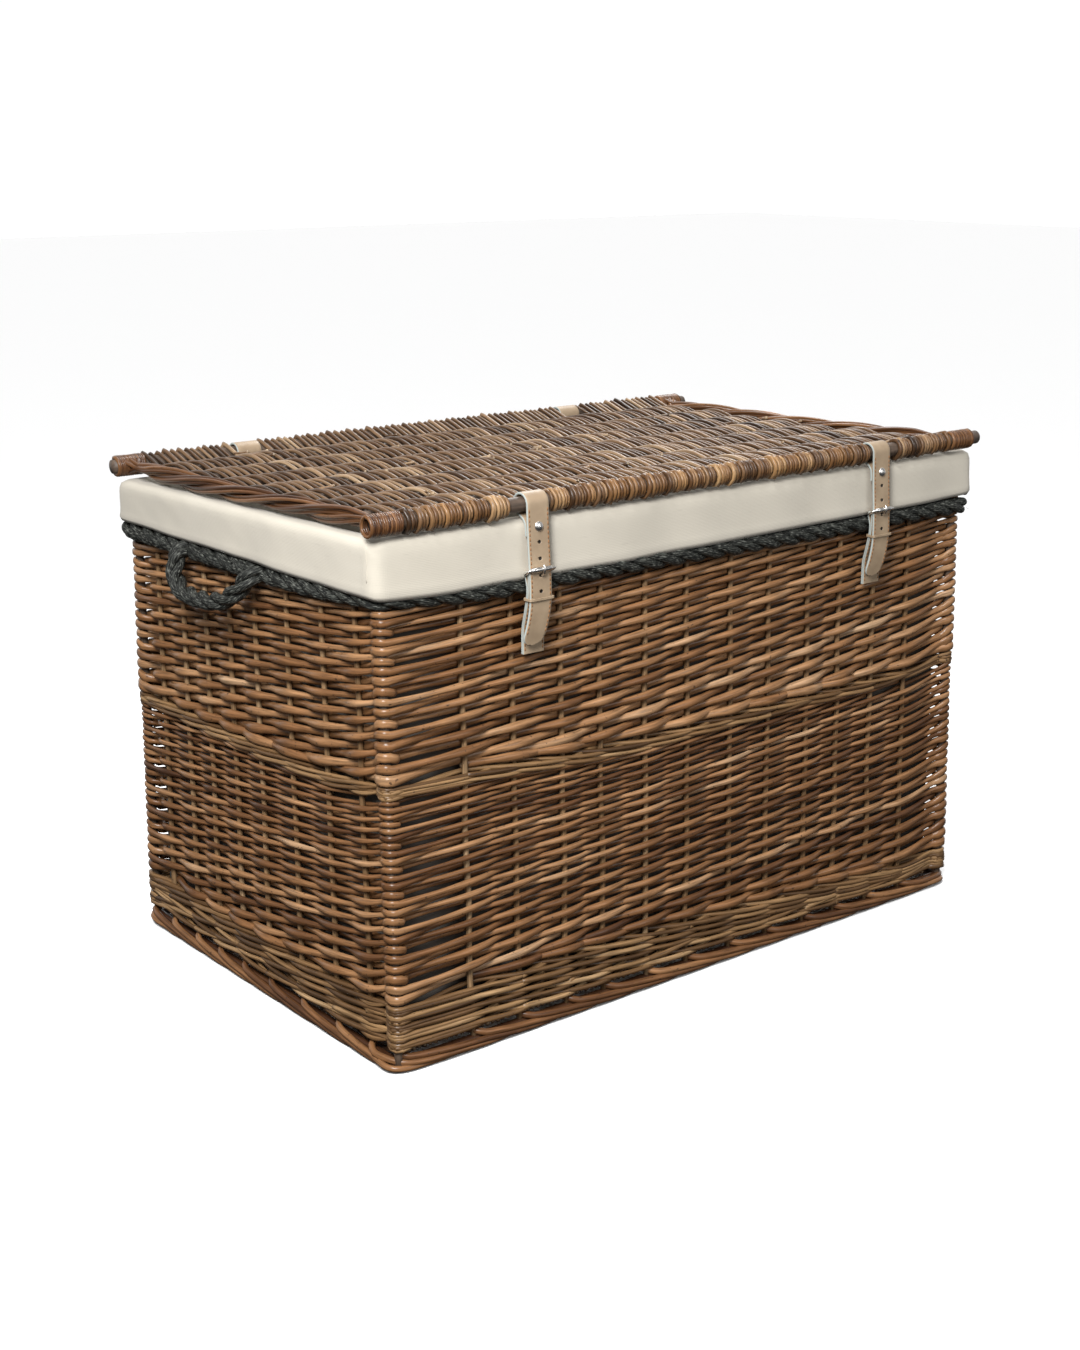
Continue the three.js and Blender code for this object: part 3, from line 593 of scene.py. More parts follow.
def make_studio():
    """A pale studio: white behind the trunk, softer grey elsewhere, two suns and three soft boxes."""
    world = bpy.data.worlds.new("studio")
    world.use_nodes = True
    nodes, links = world.node_tree.nodes, world.node_tree.links
    direction = nodes.new("ShaderNodeTexCoord")
    behind = nodes.new("ShaderNodeVectorMath")
    behind.operation = "DOT_PRODUCT"
    behind.inputs[1].default_value = (0.63, 0.777, 0)
    links.new(direction.outputs["Generated"], behind.inputs[0])
    split = nodes.new("ShaderNodeSeparateXYZ")
    links.new(direction.outputs["Generated"], split.inputs[0])
    around = map_range(nodes, links, behind.outputs["Value"], 0.3, 0.75, 0.30, 1.02)
    above = map_range(nodes, links, split.outputs["Z"], -0.25, -0.12, 0.12, 1.0)
    brightness = math_node(nodes, links, "MULTIPLY", around, above)
    background = nodes["Background"]
    background.inputs["Color"].default_value = (1, 1, 1, 1)
    links.new(brightness, background.inputs["Strength"])
    bpy.context.scene.world = world
    sun_light("front_sun", (0.56, 0.36, -1.0), 1.35, 10)
    sun_light("high_sun", (-0.15, -0.15, -1.0), 0.75, 35)
    area_light("key", (-1.34, -1.10, 1.42), (-0.35, -0.22, 0.34), (0.50, 0.60), 46)
    area_light("front", (0.30, -2.10, 1.05), (0.0, -0.2, 0.28), (1.2, 0.9), 9)
    area_light("top", (0.75, 0.75, 1.5), (0.2, 0.0, 0.5), (0.5, 0.4), 12)
    mesh = bpy.data.meshes.new("floor")
    far = 14.0
    mesh.from_pydata([(-far, -far, 0), (far, -far, 0), (far, far, 0), (-far, far, 0)], [], [(0, 1, 2, 3)])
    floor = object_of("floor", mesh, plain_material("floor", (0.95, 0.95, 0.95), 0.8))
    floor.visible_diffuse = False
    floor.visible_glossy = False


# ---------------------------------------------------------------- the body's stations

class Station:
    """A side stake or a corner post: its place in plan and the way out of the wall there."""

    def __init__(self, place, out, post=False, turn=None):
        self.place = np.array(place, float)
        self.out = np.array(out, float)
        self.post = post
        self.turn = turn


def make_stations():
    """All stakes and posts in order round the body, from the front left post, front first."""
    x, y = HALF_LENGTH - STAKE_INSET, HALF_DEPTH - STAKE_INSET
    px, py = HALF_LENGTH - POST_INSET, HALF_DEPTH - POST_INSET
    front, right, back, left = (0, -1), (1, 0), (0, 1), (-1, 0)
    stations = [Station((-px, -py), left, True, front)]
    stations += [Station((s, -y), front) for s in FRONT_STAKES]
    stations += [Station((px, -py), front, True, right)]
    stations += [Station((x, s), right) for s in END_STAKES]
    stations += [Station((px, py), right, True, back)]
    stations += [Station((s, y), back) for s in reversed(FRONT_STAKES)]
    stations += [Station((-px, py), back, True, left)]
    stations += [Station((-x, s), left) for s in reversed(END_STAKES)]
    return stations


STATIONS = make_stations()
STATION_COUNT = len(STATIONS)


def station_distance():
    """How far round the body each station is, as a share of the whole way."""
    places = np.array([s.place for s in STATIONS] + [STATIONS[0].place])
    s = along(places)
    return s[:-1] / s[-1]


STATION_T = station_distance()


def before_travel(station):
    """The way a rod runs along the wall before it reaches a corner post."""
    x, y = station.out
    return np.array([-y, x])


def after_travel(station):
    """The way a rod runs along the next wall after a corner post."""
    x, y = station.turn
    return np.array([-y, x])


def turn_of_wrap(row, number):
    """Three rods in four go round a post: which of those three a row is, counted upwards, or 3 if none."""
    skipped = 3 if number % 2 == 0 else 2
    return (row - skipped - 1) % 4


def rod_plan(levels, first, last, outside, reach, dives=True):
    """The plan line of a rod past stations first..last, and for each point the station it belongs to.

    levels holds the rod's row at each station. outside(row, station) says whether it passes outside,
    and reach how far its centre lies from the stakes' line. dives lets the uppermost of the rods that
    share a post dip inside the wall after it.
    """
    points, owners = [], []
    for k in range(first, last + 1):
        number, row = k % STATION_COUNT, levels[k]
        station = STATIONS[number]
        if not station.post:
            points.append(station.place + station.out * (reach if outside(row, number) else -reach))
            owners.append(k)
            continue
        at, before, after = station.place, station.out, np.array(station.turn, float)
        travel_in, travel_out = before_travel(station), after_travel(station)
        ring = POST_RADIUS + (reach - STAKE_RADIUS) * 0.85
        if not outside(row, number):
            points += [at - travel_in * 18 - before * 3.0, at - (before + after) * ring * 0.74,
                       at + travel_out * 18 - after * 3.0]
            owners += [k - 0.3, k, k + 0.3]
            continue
        points += [at - travel_in * 15 - before * ring * 0.1, at - travel_in * 8.5 + before * ring * 0.6]
        owners += [k - 0.3, k - 0.16]
        for angle in np.radians([0, 30, 60, 90]):
            points.append(at + (before * math.cos(angle) + after * math.sin(angle)) * ring)
            owners.append(k)
        if dives and turn_of_wrap(row, number) == 2:
            points += [at + travel_out * 7.5 + after * ring * 0.84,
                       at + travel_out * 12 + after * ring * 0.05,
                       at + travel_out * 16 - after * ring * 0.6]
            owners += [k + 0.15, k + 0.22, k + 0.3]
        else:
            points.append(at + travel_out * 9 + after * ring * 0.96)
            owners.append(k + 0.15)
    return np.array(points), np.array(owners)


def plain_over(row, number):
    """Over one, under one. Of the two rows in four that would pass behind a post, one goes round it."""
    if STATIONS[number].post:
        return (row + number) % 2 == 0 or (row // 2) % 2 == 0
    return (row + number) % 2 == 0


def band_edge(values):
    """A height at every station, from (share of the way round, height) pairs."""
    t, z = zip(*values)
    t, z = np.array(t), np.array(z)
    return np.interp(STATION_T, np.concatenate([t - 1, t, t + 1]), np.tile(z, 3))


def way_round(x=None, y=None, end=None):
    """The share of the way round of a place on the front (x), or on an end wall (y, end)."""
    total = 4 * (HALF_LENGTH - POST_INSET) + 4 * (HALF_DEPTH - POST_INSET)
    px, py = HALF_LENGTH - POST_INSET, HALF_DEPTH - POST_INSET
    if end is None:
        return (x + px) / total
    if end == "right":
        return (2 * px + y + py) / total
    return (4 * px + 2 * py + py - y) / total


MID_EDGE = band_edge([
    (way_round(x=-383), 286), (way_round(x=-320), 285), (way_round(x=-262), 283), (way_round(x=-194), 278),
    (way_round(x=-143), 275), (way_round(x=-90), 273), (way_round(x=0), 274), (way_round(x=190), 275),
    (way_round(x=311), 276), (way_round(x=388), 285), (way_round(y=-200, end="right"), 284),
    (way_round(y=0, end="right"), 272), (way_round(y=200, end="right"), 274), (0.5 + way_round(x=0), 276),
    (way_round(y=221, end="left"), 273), (way_round(y=-2, end="left"), 272),
    (way_round(y=-150, end="left"), 277), (way_round(y=-219, end="left"), 287)])
BOTTOM_EDGE = band_edge([
    (way_round(x=-393), 70), (way_round(x=-146), 67), (way_round(x=60), 56), (way_round(x=315), 40),
    (way_round(y=-200, end="right"), 42), (way_round(y=0, end="right"), 52),
    (way_round(y=200, end="right"), 58), (0.5 + way_round(x=0), 56),
    (way_round(y=221, end="left"), 60), (way_round(y=0, end="left"), 58),
    (way_round(y=-219, end="left"), 68)])


# ---------------------------------------------------------------- the body's weave

def laid_inside(level, number):
    """Whether a rod may start or end here: inside the wall and away from the corner posts."""
    return not plain_over(level, number) and not STATIONS[number].post


def climbing_rods(rows):
    """The rods of one band of weave, as (line, first station, last station).

    The band is woven slantwise: each line climbs from the band's lower edge to its upper edge in one
    round of the body. A line is made of several rods, laid end to end on the inside.
    """
    climb = rows / STATION_COUNT
    rods = []
    for line in range(rows):
        def good(k):
            return laid_inside(line + rows * (k // STATION_COUNT), k % STATION_COUNT)

        k = math.ceil((-1.9 - line) / climb)
        while not good(k):
            k += 1
        end = math.floor((rows + 0.4 - line) / climb)
        while not good(end):
            end -= 1
        while k < end:
            last = min(k + int(rng.integers(8, 13)) * 2, end)
            while last < end and not good(last):
                last += 1
            if end - last < 6:
                last = end
            rods.append((line, k, last))
            k = last
    return rods


def post_lift(level, number):
    """How many rows a rod rises at a post, where the three that go round share the room of four."""
    if not STATIONS[number].post or not plain_over(level, number):
        return 0.0
    place = turn_of_wrap(level, number)
    return (place + 0.5) * 4 / 3 - 0.5 - place


def add_weave(rows, bottom, top, thick, thin, target, tone_low, tone_high):
    """A band of weave between two edges. Its rods get thinner going up, in the ratio thick to thin."""
    climb = rows / STATION_COUNT
    share_up = np.linspace(0, 1, 101)
    grain = thick + (thin - thick) * share_up ** 0.8
    risen = np.concatenate([[0], np.cumsum((grain[1:] + grain[:-1]) / 2)])
    risen /= risen[-1]
    for line_number, first, last in climbing_rods(rows):
        stations = np.arange(first, last + 1)
        numbers = stations % STATION_COUNT
        levels = line_number + rows * (stations // STATION_COUNT)
        height = np.clip(line_number + 0.5 + climb * stations, 0.5, rows - 0.5)
        half_pitch = np.interp(height / rows, share_up, grain / grain.mean())
        half_pitch = half_pitch * (top - bottom)[numbers] / rows / 2
        taper = half_pitch * np.linspace(1.10, 0.88, len(stations)) * (1 + rng.normal() * 0.03)
        z_at = bottom[numbers] + (top - bottom)[numbers] * np.interp(height / rows, share_up, risen)
        reach = 0.95 * (STAKE_RADIUS + taper.mean() * 0.8)
        level_at = dict(zip(stations, levels))
        plan, owners = rod_plan(level_at, first, last, plain_over, reach)
        over = np.array([plain_over(level, number) for level, number in zip(levels, numbers)])
        lift = np.array([post_lift(level, number) for level, number in zip(levels, numbers)])
        lift = lift * half_pitch * 2
        wrapped = np.array([STATIONS[number].post and is_over for number, is_over in zip(numbers, over)])
        nearest = np.clip(np.round(owners).astype(int) - first, 0, len(stations) - 1)
        closeness = np.clip(1 - 3.2 * np.abs(owners - stations[nearest]), 0, 1)
        near_post = np.where(wrapped[nearest], closeness, 0.0)
        ride = np.interp(owners, stations, np.where(over, WEAVE_RIDE, -WEAVE_RIDE))
        z = np.interp(owners, stations, z_at)
        z = z + near_post * np.interp(owners, stations, lift) + (1 - near_post) * ride
        r = np.interp(owners, stations, taper)
        line = np.column_stack([plan, z, r, 0.8 - 0.32 * near_post, owners])
        line = resample(spline(line, 9), 5.5)
        points = body_shape(line[:, :3])
        t = np.linspace(0, 1, len(points))
        points[:, 2] += waves(t, 5, 0.3)
        nested = 0.80 + 0.27 * np.cos(np.pi * line[:, 5]) ** 2
        radius = line[:, 3] * nested * (1 + waves(t, 9, 0.02))
        tone = np.clip(rng.normal((tone_low + tone_high) / 2, (tone_high - tone_low) / 2.5), 0.08, 0.82)
        target(points).add(points, radius, tone=tone, flat=line[:, 4])


def by_wall(sets):
    """Picks the mesh that a rod goes into by where its middle lies, to keep each mesh small."""
    def pick(points):
        middle = points[len(points) // 2]
        return sets[(0 if middle[1] < 0 else 1) * 2 + (0 if middle[0] < 0 else 1)]
    return pick


def make_weave(name, rows, bottom, top, thick, thin, tones, node):
    sets = [Rods(9) for _ in range(4)]
    add_weave(rows, bottom, top, thick, thin, by_wall(sets), *tones)
    for number, rod_set in enumerate(sets):
        piece = rod_set.build(f"{name}_{number + 1}", WILLOW)
        belongs(piece, "basket", "willow", node)


def make_stakes():
    stakes = Rods(8)
    for station in STATIONS:
        if station.post:
            continue
        z = np.linspace(10, UPPER_WEAVE_TOP + 8, 26)
        t = np.linspace(0, 1, len(z))
        tangent = before_travel(station)
        plan = station.place + np.outer(waves(t, 4, 0.9), tangent)
        points = body_shape(np.column_stack([plan, z]))
        stakes.add(points, STAKE_RADIUS * (1.14 - 0.2 * t), tone=rng.uniform(0.5, 0.85), up=(*station.out, 0))
    belongs(stakes.build("side_stakes", WILLOW_GREY), "basket", "willow_grey")
    names = ["front_left", "front_right", "back_right", "back_left"]
    posts = [station for station in STATIONS if station.post]
    for place, station in zip(names, posts):
        post = Rods(16)
        z = np.linspace(4, RIM - 5, 30)
        points = body_shape(np.column_stack([np.tile(station.place, (len(z), 1)), z]))
        post.add(points, POST_RADIUS, tone=0.3, up=(*station.out, 0))
        piece = post.build(f"corner_post_wood_{place}", STICK)
        belongs(piece, "basket", "stick", f"corner_post_{place}")


def wale_over(row, number):
    """A waling rod: outside two stations, then inside one. Posts are always passed outside."""
    if STATIONS[number].post:
        return True
    return (number + row) % 3 != 2


def add_wale(target, z_at, radius, tone_range, rise):
    """One row of waling: three rods that take turns, each stroke lapping the next like a rope."""
    for rod in range(3):
        start = int(rng.integers(0, STATION_COUNT))
        cuts = [start, start + int(rng.integers(12, 18)), start + int(rng.integers(26, 34)),
                start + STATION_COUNT]
        for first, last in zip(cuts[:-1], cuts[1:]):
            first, last = int(first), int(last) + 1
            levels = dict.fromkeys(range(first, last + 1), rod)
            plan, owners = rod_plan(levels, first, last, wale_over, STAKE_RADIUS + radius * 0.9, dives=False)
            phase = np.mod(owners + rod, 3.0)
            stations = np.arange(first, last + 1)
            z = np.interp(owners, stations, z_at[stations % STATION_COUNT])
            z = z + rise * (np.interp(phase, [0, 1, 2, 3], [-0.8, 0.8, 0.0, -0.8]))
            share = (owners - first) / (last - first)
            r = radius * (1.12 - 0.3 * share)
            line = resample(spline(np.column_stack([plan, z, r]), 9), 6.5)
            points = body_shape(line[:, :3])
            tone = rng.uniform(*tone_range)
            target(points).add(points, line[:, 3], tone=tone, hue=0.35, flat=0.92)


def make_wales():
    wale = Rods(8)
    for level in range(2):
        z_at = MID_EDGE - WALE_HEIGHT + 3.2 + level * 5.4
        add_wale(lambda _: wale, z_at, MID_WALE_RADIUS, (0.1, 0.75), 2.4)
    belongs(wale.build("mid_wale_rods", WILLOW_GREY), "basket", "willow_grey", "mid_wale")
    sets = [Rods(8) for _ in range(2)]
    low, high = FOOT_TOP + 4.5, BOTTOM_EDGE - 1.0
    for level in range(BOTTOM_WALE_ROWS):
        z_at = low + (high - low) * (level + 0.5) / BOTTOM_WALE_ROWS
        add_wale(lambda points: sets[0 if points[len(points) // 2][1] < 0 else 1], z_at,
                 BOTTOM_WALE_RADIUS, (0.05, 0.8), 3.2)
    for number, rod_set in enumerate(sets):
        piece = rod_set.build(f"bottom_wale_rods_{number + 1}", WILLOW_GREY)
        belongs(piece, "basket", "willow_grey", "bottom_wale")


def foot_rod(first, rods):
    """A rod of the foot border: it bends out sharply, then sinks outwards past the next stakes."""
    offsets = [(-0.02, -3.5, 17.5), (0.07, 3.5, 16.5), (0.2, 8.2, 14.6), (0.55, 10.2, 12.4), (1.2, 10.4, 9.0),
               (1.9, 10.2, 5.6), (2.5, 8.4, 3.9), (3.0, 3.0, 3.6)]
    points = []
    for step, out, z in offsets:
        k = first + step
        low, share = int(math.floor(k)), k - math.floor(k)
        a, b = STATIONS[low % STATION_COUNT], STATIONS[(low + 1) % STATION_COUNT]
        place = a.place * (1 - share) + b.place * share
        if a.post and share < 0.3:
            normal = unit(np.array(a.out) + np.array(a.turn))
        elif b.post and share > 0.75:
            normal = unit(np.array(b.out) + np.array(b.turn))
        else:
            normal = np.array(a.turn if a.post else a.out, float)
        points.append((*(place + normal * (out - 1.0)), z))
    line = resample(spline(points, 10), 6)
    t = np.linspace(0, 1, len(line))
    rods.add(body_shape(line), 3.5 * (1.05 - 0.25 * t), tone=rng.uniform(0.15, 0.65))


def make_foot():
    rods = Rods(10)
    for first in range(STATION_COUNT):
        foot_rod(first, rods)
    core = resample(np.array([(*s.place, 8.0) for s in STATIONS] + [(*STATIONS[0].place, 8.0)]), 12)
    # Painted shade: the core under the foot border gets the darkest tone, so the gaps between the border's
    # rods read dark.
    rods.add(body_shape(core), 5.0, tone=0.0)
    belongs(rods.build("foot_border_rods", WILLOW), "basket", "willow", "foot_border")
    top = Rods(8)
    for z, inset in ((499, 4), (499, 12), (505.5, 5), (505.5, 11)):
        x, y = HALF_LENGTH - inset, HALF_DEPTH - inset
        ring = np.array([(-x, -y, z), (x, -y, z), (x, y, z), (-x, y, z), (-x, -y, z)])
        top.add(body_shape(resample(ring, 20)), 3.2)
    belongs(top.build("top_border_rods", WILLOW), "basket", "willow", "top_border")


def make_base():
    """The base seen from below: sticks along the length, woven over and under from front to back."""
    sticks, weavers = Rods(8), Rods(7)
    ys = [(k - 2) * BASE_STICK_STEP for k in range(BASE_STICKS)]
    for y in ys:
        sticks.add(np.array([(x, y, 11.5) for x in np.linspace(-384, 384, 30)]), 4.2, tone=0.4)
    nodes = [f"base_stick_{k + 1}" for k in range(BASE_STICKS)]
    belongs(sticks.build("base_sticks", STICK), "basket", "stick", *nodes)
    edge = HALF_DEPTH * (1 + SPLAY / HALF_DEPTH) - 18
    for number, x in enumerate(np.arange(-380, 381, 6.4)):
        line = [(x, -edge, 14)]
        for k, y in enumerate(ys):
            line.append((x + rng.normal() * 0.4, y, 11.5 + (6.2 if (k + number) % 2 else -6.2)))
        line.append((x, edge, 14))
        points = resample(spline(line, 8), 9)
        weavers.add(points, 2.7, up=(1, 0, 0))
    belongs(weavers.build("base_weave", WILLOW), "basket", "willow", "base_mat")


# ---------------------------------------------------------------- rope

def add_rope(rods, line, radius, pitch, up, hairs=0):
    """Three strands laid round a centreline. hairs is how many loose fibres stand off it per metre."""
    line = np.asarray(line, float)
    s = along(line)
    forward = unit(np.gradient(line, axis=0))
    side = unit(np.cross(forward, np.broadcast_to(np.asarray(up, float), line.shape)))
    top = np.cross(side, forward)
    radius = np.broadcast_to(np.asarray(radius, float), (len(line),))
    strand = radius / 2.155
    away = (radius - strand)[:, None]
    for number in range(3):
        turn = 2 * np.pi * (number / 3 - s / pitch)
        radial = side * np.cos(turn)[:, None] + top * np.sin(turn)[:, None]
        t = s / s[-1]
        centre = line + radial * away
        rods.add(centre, strand * 1.07 * (1 + waves(t, 12, 0.012)), up=radial, pith=False)
    for _ in range(int(hairs * s[-1] * 0.001)):
        k = int(rng.integers(2, len(line) - 3))
        turn = rng.random() * 2 * np.pi
        radial = side[k] * math.cos(turn) + top[k] * math.sin(turn)
        start = line[k] + radial * radius[k] * 0.93
        drift = forward[k] * rng.normal() * 3.0 + np.cross(radial, forward[k]) * rng.normal() * 2.5
        reach = rng.uniform(0.8, 3.2)
        t = np.linspace(0, 1, 5)[:, None]
        curl = start + radial * reach * t + drift * t ** 1.6
        rods.add(curl, 0.11, up=unit(forward[k] + 0.3), pith=False)


def rounded_ring(half_x, half_y, radius, straight_x, straight_y, corner):
    """Points round a rounded rectangle in plan, with the same count on every ring."""
    points, outs = [], []
    centres = [(-1, -1, 180), (1, -1, 270), (1, 1, 0), (-1, 1, 90)]
    straights = [(straight_x, (0, -1)), (straight_y, (1, 0)), (straight_x, (0, 1)), (straight_y, (-1, 0))]
    radius = min(radius, half_x, half_y)
    for k, (sx, sy, start) in enumerate(centres):
        cx, cy = sx * (half_x - radius), sy * (half_y - radius)
        for angle in np.radians(np.linspace(start, start + 90, corner)):
            points.append((cx + radius * math.cos(angle), cy + radius * math.sin(angle)))
            outs.append((math.cos(angle), math.sin(angle)))
        tx, ty, _ = centres[(k + 1) % 4]
        a = np.array(points[-1])
        b = np.array([tx * (half_x - radius), ty * (half_y - radius)])
        end = np.radians(centres[(k + 1) % 4][2])
        b = b + radius * np.array([math.cos(end), math.sin(end)])
        count, out = straights[k]
        for share in np.linspace(0, 1, count + 2)[1:-1]:
            points.append(tuple(a + (b - a) * share))
            outs.append(out)
    return np.array(points), np.array(outs, float)


def near_corner(points, reach):
    """1 at the near corner, falling away smoothly with distance in plan."""
    distance = np.hypot(points[..., 0] - NEAR_CORNER[0], points[..., 1] - NEAR_CORNER[1])
    return np.exp(-(distance / reach) ** 2)


def make_rope_ring():
    """The rope round the body, in four lengths between the handles' legs."""
    ring, _ = rounded_ring(HALF_LENGTH + ROPE_OUT, HALF_DEPTH + ROPE_OUT, ROPE_CORNER, 60, 40, 9)
    closed = np.vstack([ring, ring[:1]])
    t = along(closed) / along(closed)[-1]
    line = np.column_stack([closed, ROPE_HEIGHT + waves(t, 9, 0.8)])
    line = resample(line, 4)
    tucked = near_corner(line, 75)
    line[:, 2] += 5.0 * tucked
    line[:, :2] *= 1 - 0.007 * tucked[:, None]
    near, far = HANDLE_CENTRE - HANDLE_SPREAD / 2, HANDLE_CENTRE + HANDLE_SPREAD / 2
    room = ROPE_RADIUS + 0.6
    left, right = line[:, 0] < -HALF_LENGTH + 30, line[:, 0] > HALF_LENGTH - 30
    middle = (line[:, 1] > near + room) & (line[:, 1] < far - room)
    front, back = line[:, 1] < near - room, line[:, 1] > far + room
    start = int(np.argmin(np.abs(line[:, 1]) + np.abs(line[:, 0] + HALF_LENGTH)))
    order = np.roll(np.arange(len(line) - 1), -start)
    for name, chosen in (("rope_front", front), ("rope_back", back),
                         ("rope_short_left", middle & left), ("rope_short_right", middle & right)):
        part = line[order[chosen[order]]]
        rods = Rods(12)
        part = resample(part, 3.0)
        radius = ROPE_RADIUS * (1 - 0.2 * near_corner(part, 75))
        add_rope(rods, body_shape(part), radius, ROPE_PITCH, (0, 0, 1), hairs=230)
        belongs(rods.build(name + "_strands", ROPE), "basket", "rope", name)


def handle_line():
    """The rope handle on the left end, from one knot inside to the other."""
    near, far = HANDLE_CENTRE - HANDLE_SPREAD / 2, HANDLE_CENTRE + HANDLE_SPREAD / 2
    axis = -HALF_LENGTH - HANDLE_AXIS_OUT

    def hung(y, drop):
        return (axis - drop * math.sin(HANDLE_LEAN), y, ROPE_HEIGHT - drop * math.cos(HANDLE_LEAN))

    inner = [(-HALF_LENGTH + 30, 0), (-HALF_LENGTH + 12, 0), (-HALF_LENGTH - 4, -0.5)]
    start = [(x, near, ROPE_HEIGHT + z) for x, z in inner]
    front = [hung(near + 4, 8), hung(near + 13, 19), hung(near + 27, 29), hung(near + 44, 36)]
    bottom = [hung(HANDLE_CENTRE, 39.5), hung(far - 44, 40)]
    back = [hung(far - 24, 37), hung(far - 9, 29), hung(far - 2, 18), hung(far, 6)]
    stop = [(x, far, ROPE_HEIGHT + z) for x, z in reversed(inner)]
    return spline(start + front + bottom + back + stop, 8)


def knot(rods, place, size, radius):
    """An overhand knot, as a trefoil of rope."""
    t = np.linspace(0, 2 * np.pi, 90)
    knot_line = np.column_stack([
        np.sin(3 * t) * 0.5, np.sin(t) + 2 * np.sin(2 * t), np.cos(t) - 2 * np.cos(2 * t)]) / 3
    knot_line[:, 0] *= 1.5
    add_rope(rods, resample(np.array(place) + knot_line * size, 3.0), radius, 40, (1, 0.2, 0.1), hairs=120)


def make_handles():
    for end, side in (("left", 1), ("right", -1)):
        line = handle_line()
        rods = Rods(12)
        near, far = HANDLE_CENTRE - HANDLE_SPREAD / 2, HANDLE_CENTRE + HANDLE_SPREAD / 2
        turn = np.array([side, 1.0, 1.0])
        up = (0.94 * side, 0, -0.34)
        add_rope(rods, resample(line * turn, 3.0), ROPE_RADIUS - 0.2, ROPE_PITCH * 0.85, up, hairs=420)
        handle = rods.build(f"rope_handle_{end}_strands", ROPE)
        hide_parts(f"rope_handle_{end}")
        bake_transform(handle)
        knots = Rods(10)
        for y in (near, far):
            knot(knots, (-side * (HALF_LENGTH - 30), y, ROPE_HEIGHT), 10.5, 5.6)
        belongs(knots.build(f"handle_knots_{end}", ROPE), "basket", "rope",
                f"handle_knot_{end}_front", f"handle_knot_{end}_back")


# ---------------------------------------------------------------- lining

def cloth_noise(u, v, size, seed):
    """Smooth noise over a surface, about 1 in size, with bumps about `size` millimetres across."""
    source = np.random.default_rng(seed)
    total = np.zeros_like(u)
    for _ in range(14):
        angle, phase = source.random() * 2 * np.pi, source.random() * 2 * np.pi
        step = 2 * np.pi / (size * source.uniform(0.6, 1.8))
        total += np.sin((u * math.cos(angle) + v * math.sin(angle)) * step + phase)
    return total / math.sqrt(14)


LINING_PROFILE = (
    (7.0, 465.2), (8.1, 465.6), (8.5, 467.5), (8.3, 471), (8.1, 475), (7.9, 480), (7.8, 486), (7.7, 492),
    (7.6, 498), (7.4, 503), (6.9, 507), (5.4, 510.2), (2.6, 511.8), (-3, 512), (-9, 512), (-14, 511.6),
    (-17, 509), (-17.9, 504), (-18.2, 494), (-18.3, 480), (-18.4, 460), (-18.5, 435), (-18.6, 405),
    (-18.6, 65), (-18.8, 42), (-20, 30), (-24, 25), (-34, 23.4), (-55, 23), (-236.3, 23))


def make_lining():
    """The cotton bag: a skirt outside down to the hem, the fold over the rim, the walls and the floor."""
    profile = resample(np.array(LINING_PROFILE), 5.0)
    travel = along(profile)
    rows, uvs, outs = [], [], []
    for (out, z), v in zip(profile, travel):
        corner = 14.0 if out > 0 else max(4.0, 10.0 + out)
        ring, normal = rounded_ring(HALF_LENGTH + out, max(HALF_DEPTH + out, 0.1), corner, 150, 90, 14)
        rows.append(np.column_stack([ring, np.full(len(ring), z)]))
        outs.append(np.column_stack([normal, np.zeros(len(ring))]))
        u = along(np.vstack([rows[0], rows[0][:1]]))[:-1]
        uvs.append(np.column_stack([u * 0.001, np.full(len(ring), v * 0.001)]))
    points, uv, normal = np.array(rows), np.array(uvs), np.array(outs)
    u, v = uv[..., 0] * 1000, uv[..., 1] * 1000
    skirt = np.clip(1 - (v - 46) / 10, 0, 1)
    inside = np.clip((v - 85) / 60, 0, 1)
    upright = inside * (points[..., 2] > 24.5)
    bulge = skirt * (0.8 * cloth_noise(u, v * 0.6, 90, 1) + 0.35 * cloth_noise(u + v, v * 0.5, 24, 2))
    bulge += skirt * 0.5 * np.exp(-((v - 2.5) / 3.0) ** 2)
    folds = 1.6 * np.abs(cloth_noise(u, v * 0.3, 150, 3)) + 0.8 * np.abs(cloth_noise(u, v * 0.6, 60, 4))
    inner = upright * folds
    points = points + normal * (bulge - inner)[..., None]
    edge = skirt * np.clip(1 - v / 30, 0, 1)
    on_front = points[..., 1] < -HALF_DEPTH
    hem_places = (-400, -330, -150, 50, 200, 400)
    hem_rises = (-1.5, -4, -4.5, -1.5, 0, 3.5)
    slope = np.where(on_front, np.interp(points[..., 0], hem_places, hem_rises), 0.0)
    points[..., 2] += edge * (0.8 * cloth_noise(u, v * 0, 120, 5) + slope)
    floor_wave = (points[..., 2] < 24.5) * 0.6 * np.abs(cloth_noise(points[..., 0], points[..., 1], 120, 6))
    points[..., 2] += floor_wave
    for _ in range(8):
        points = 0.5 * points + 0.25 * (np.roll(points, 1, axis=1) + np.roll(points, -1, axis=1))
    piece = grid_mesh("lining_cloth", body_shape(points), uv, [COTTON, COTTON_PAINTED_SHADE], close_u=True)
    thick = piece.modifiers.new("thickness", "SOLIDIFY")
    thick.thickness = 0.0009
    thick.offset = 0
    # The second shell gets the painted-shade cotton, so the lining's back reads as shade through the weave's
    # gaps.
    thick.material_offset = 1
    thick.material_offset_rim = 0
    belongs(piece, "basket", "cotton", "lining")
    column = int(np.argmin(np.hypot(points[0, :, 0] + HALF_LENGTH + 8, points[0, :, 1] + HALF_DEPTH - 5)))
    seam_line = body_shape(resample(points[3:14, column] + normal[3:14, column] * 0.5, 2.5))
    seam = Rods(6)
    seam.add(seam_line, 0.55, up=(1, 0.2, 0), pith=False)
    belongs(seam.build("lining_seam", COTTON), "basket", "cotton")


# ---------------------------------------------------------------- lid

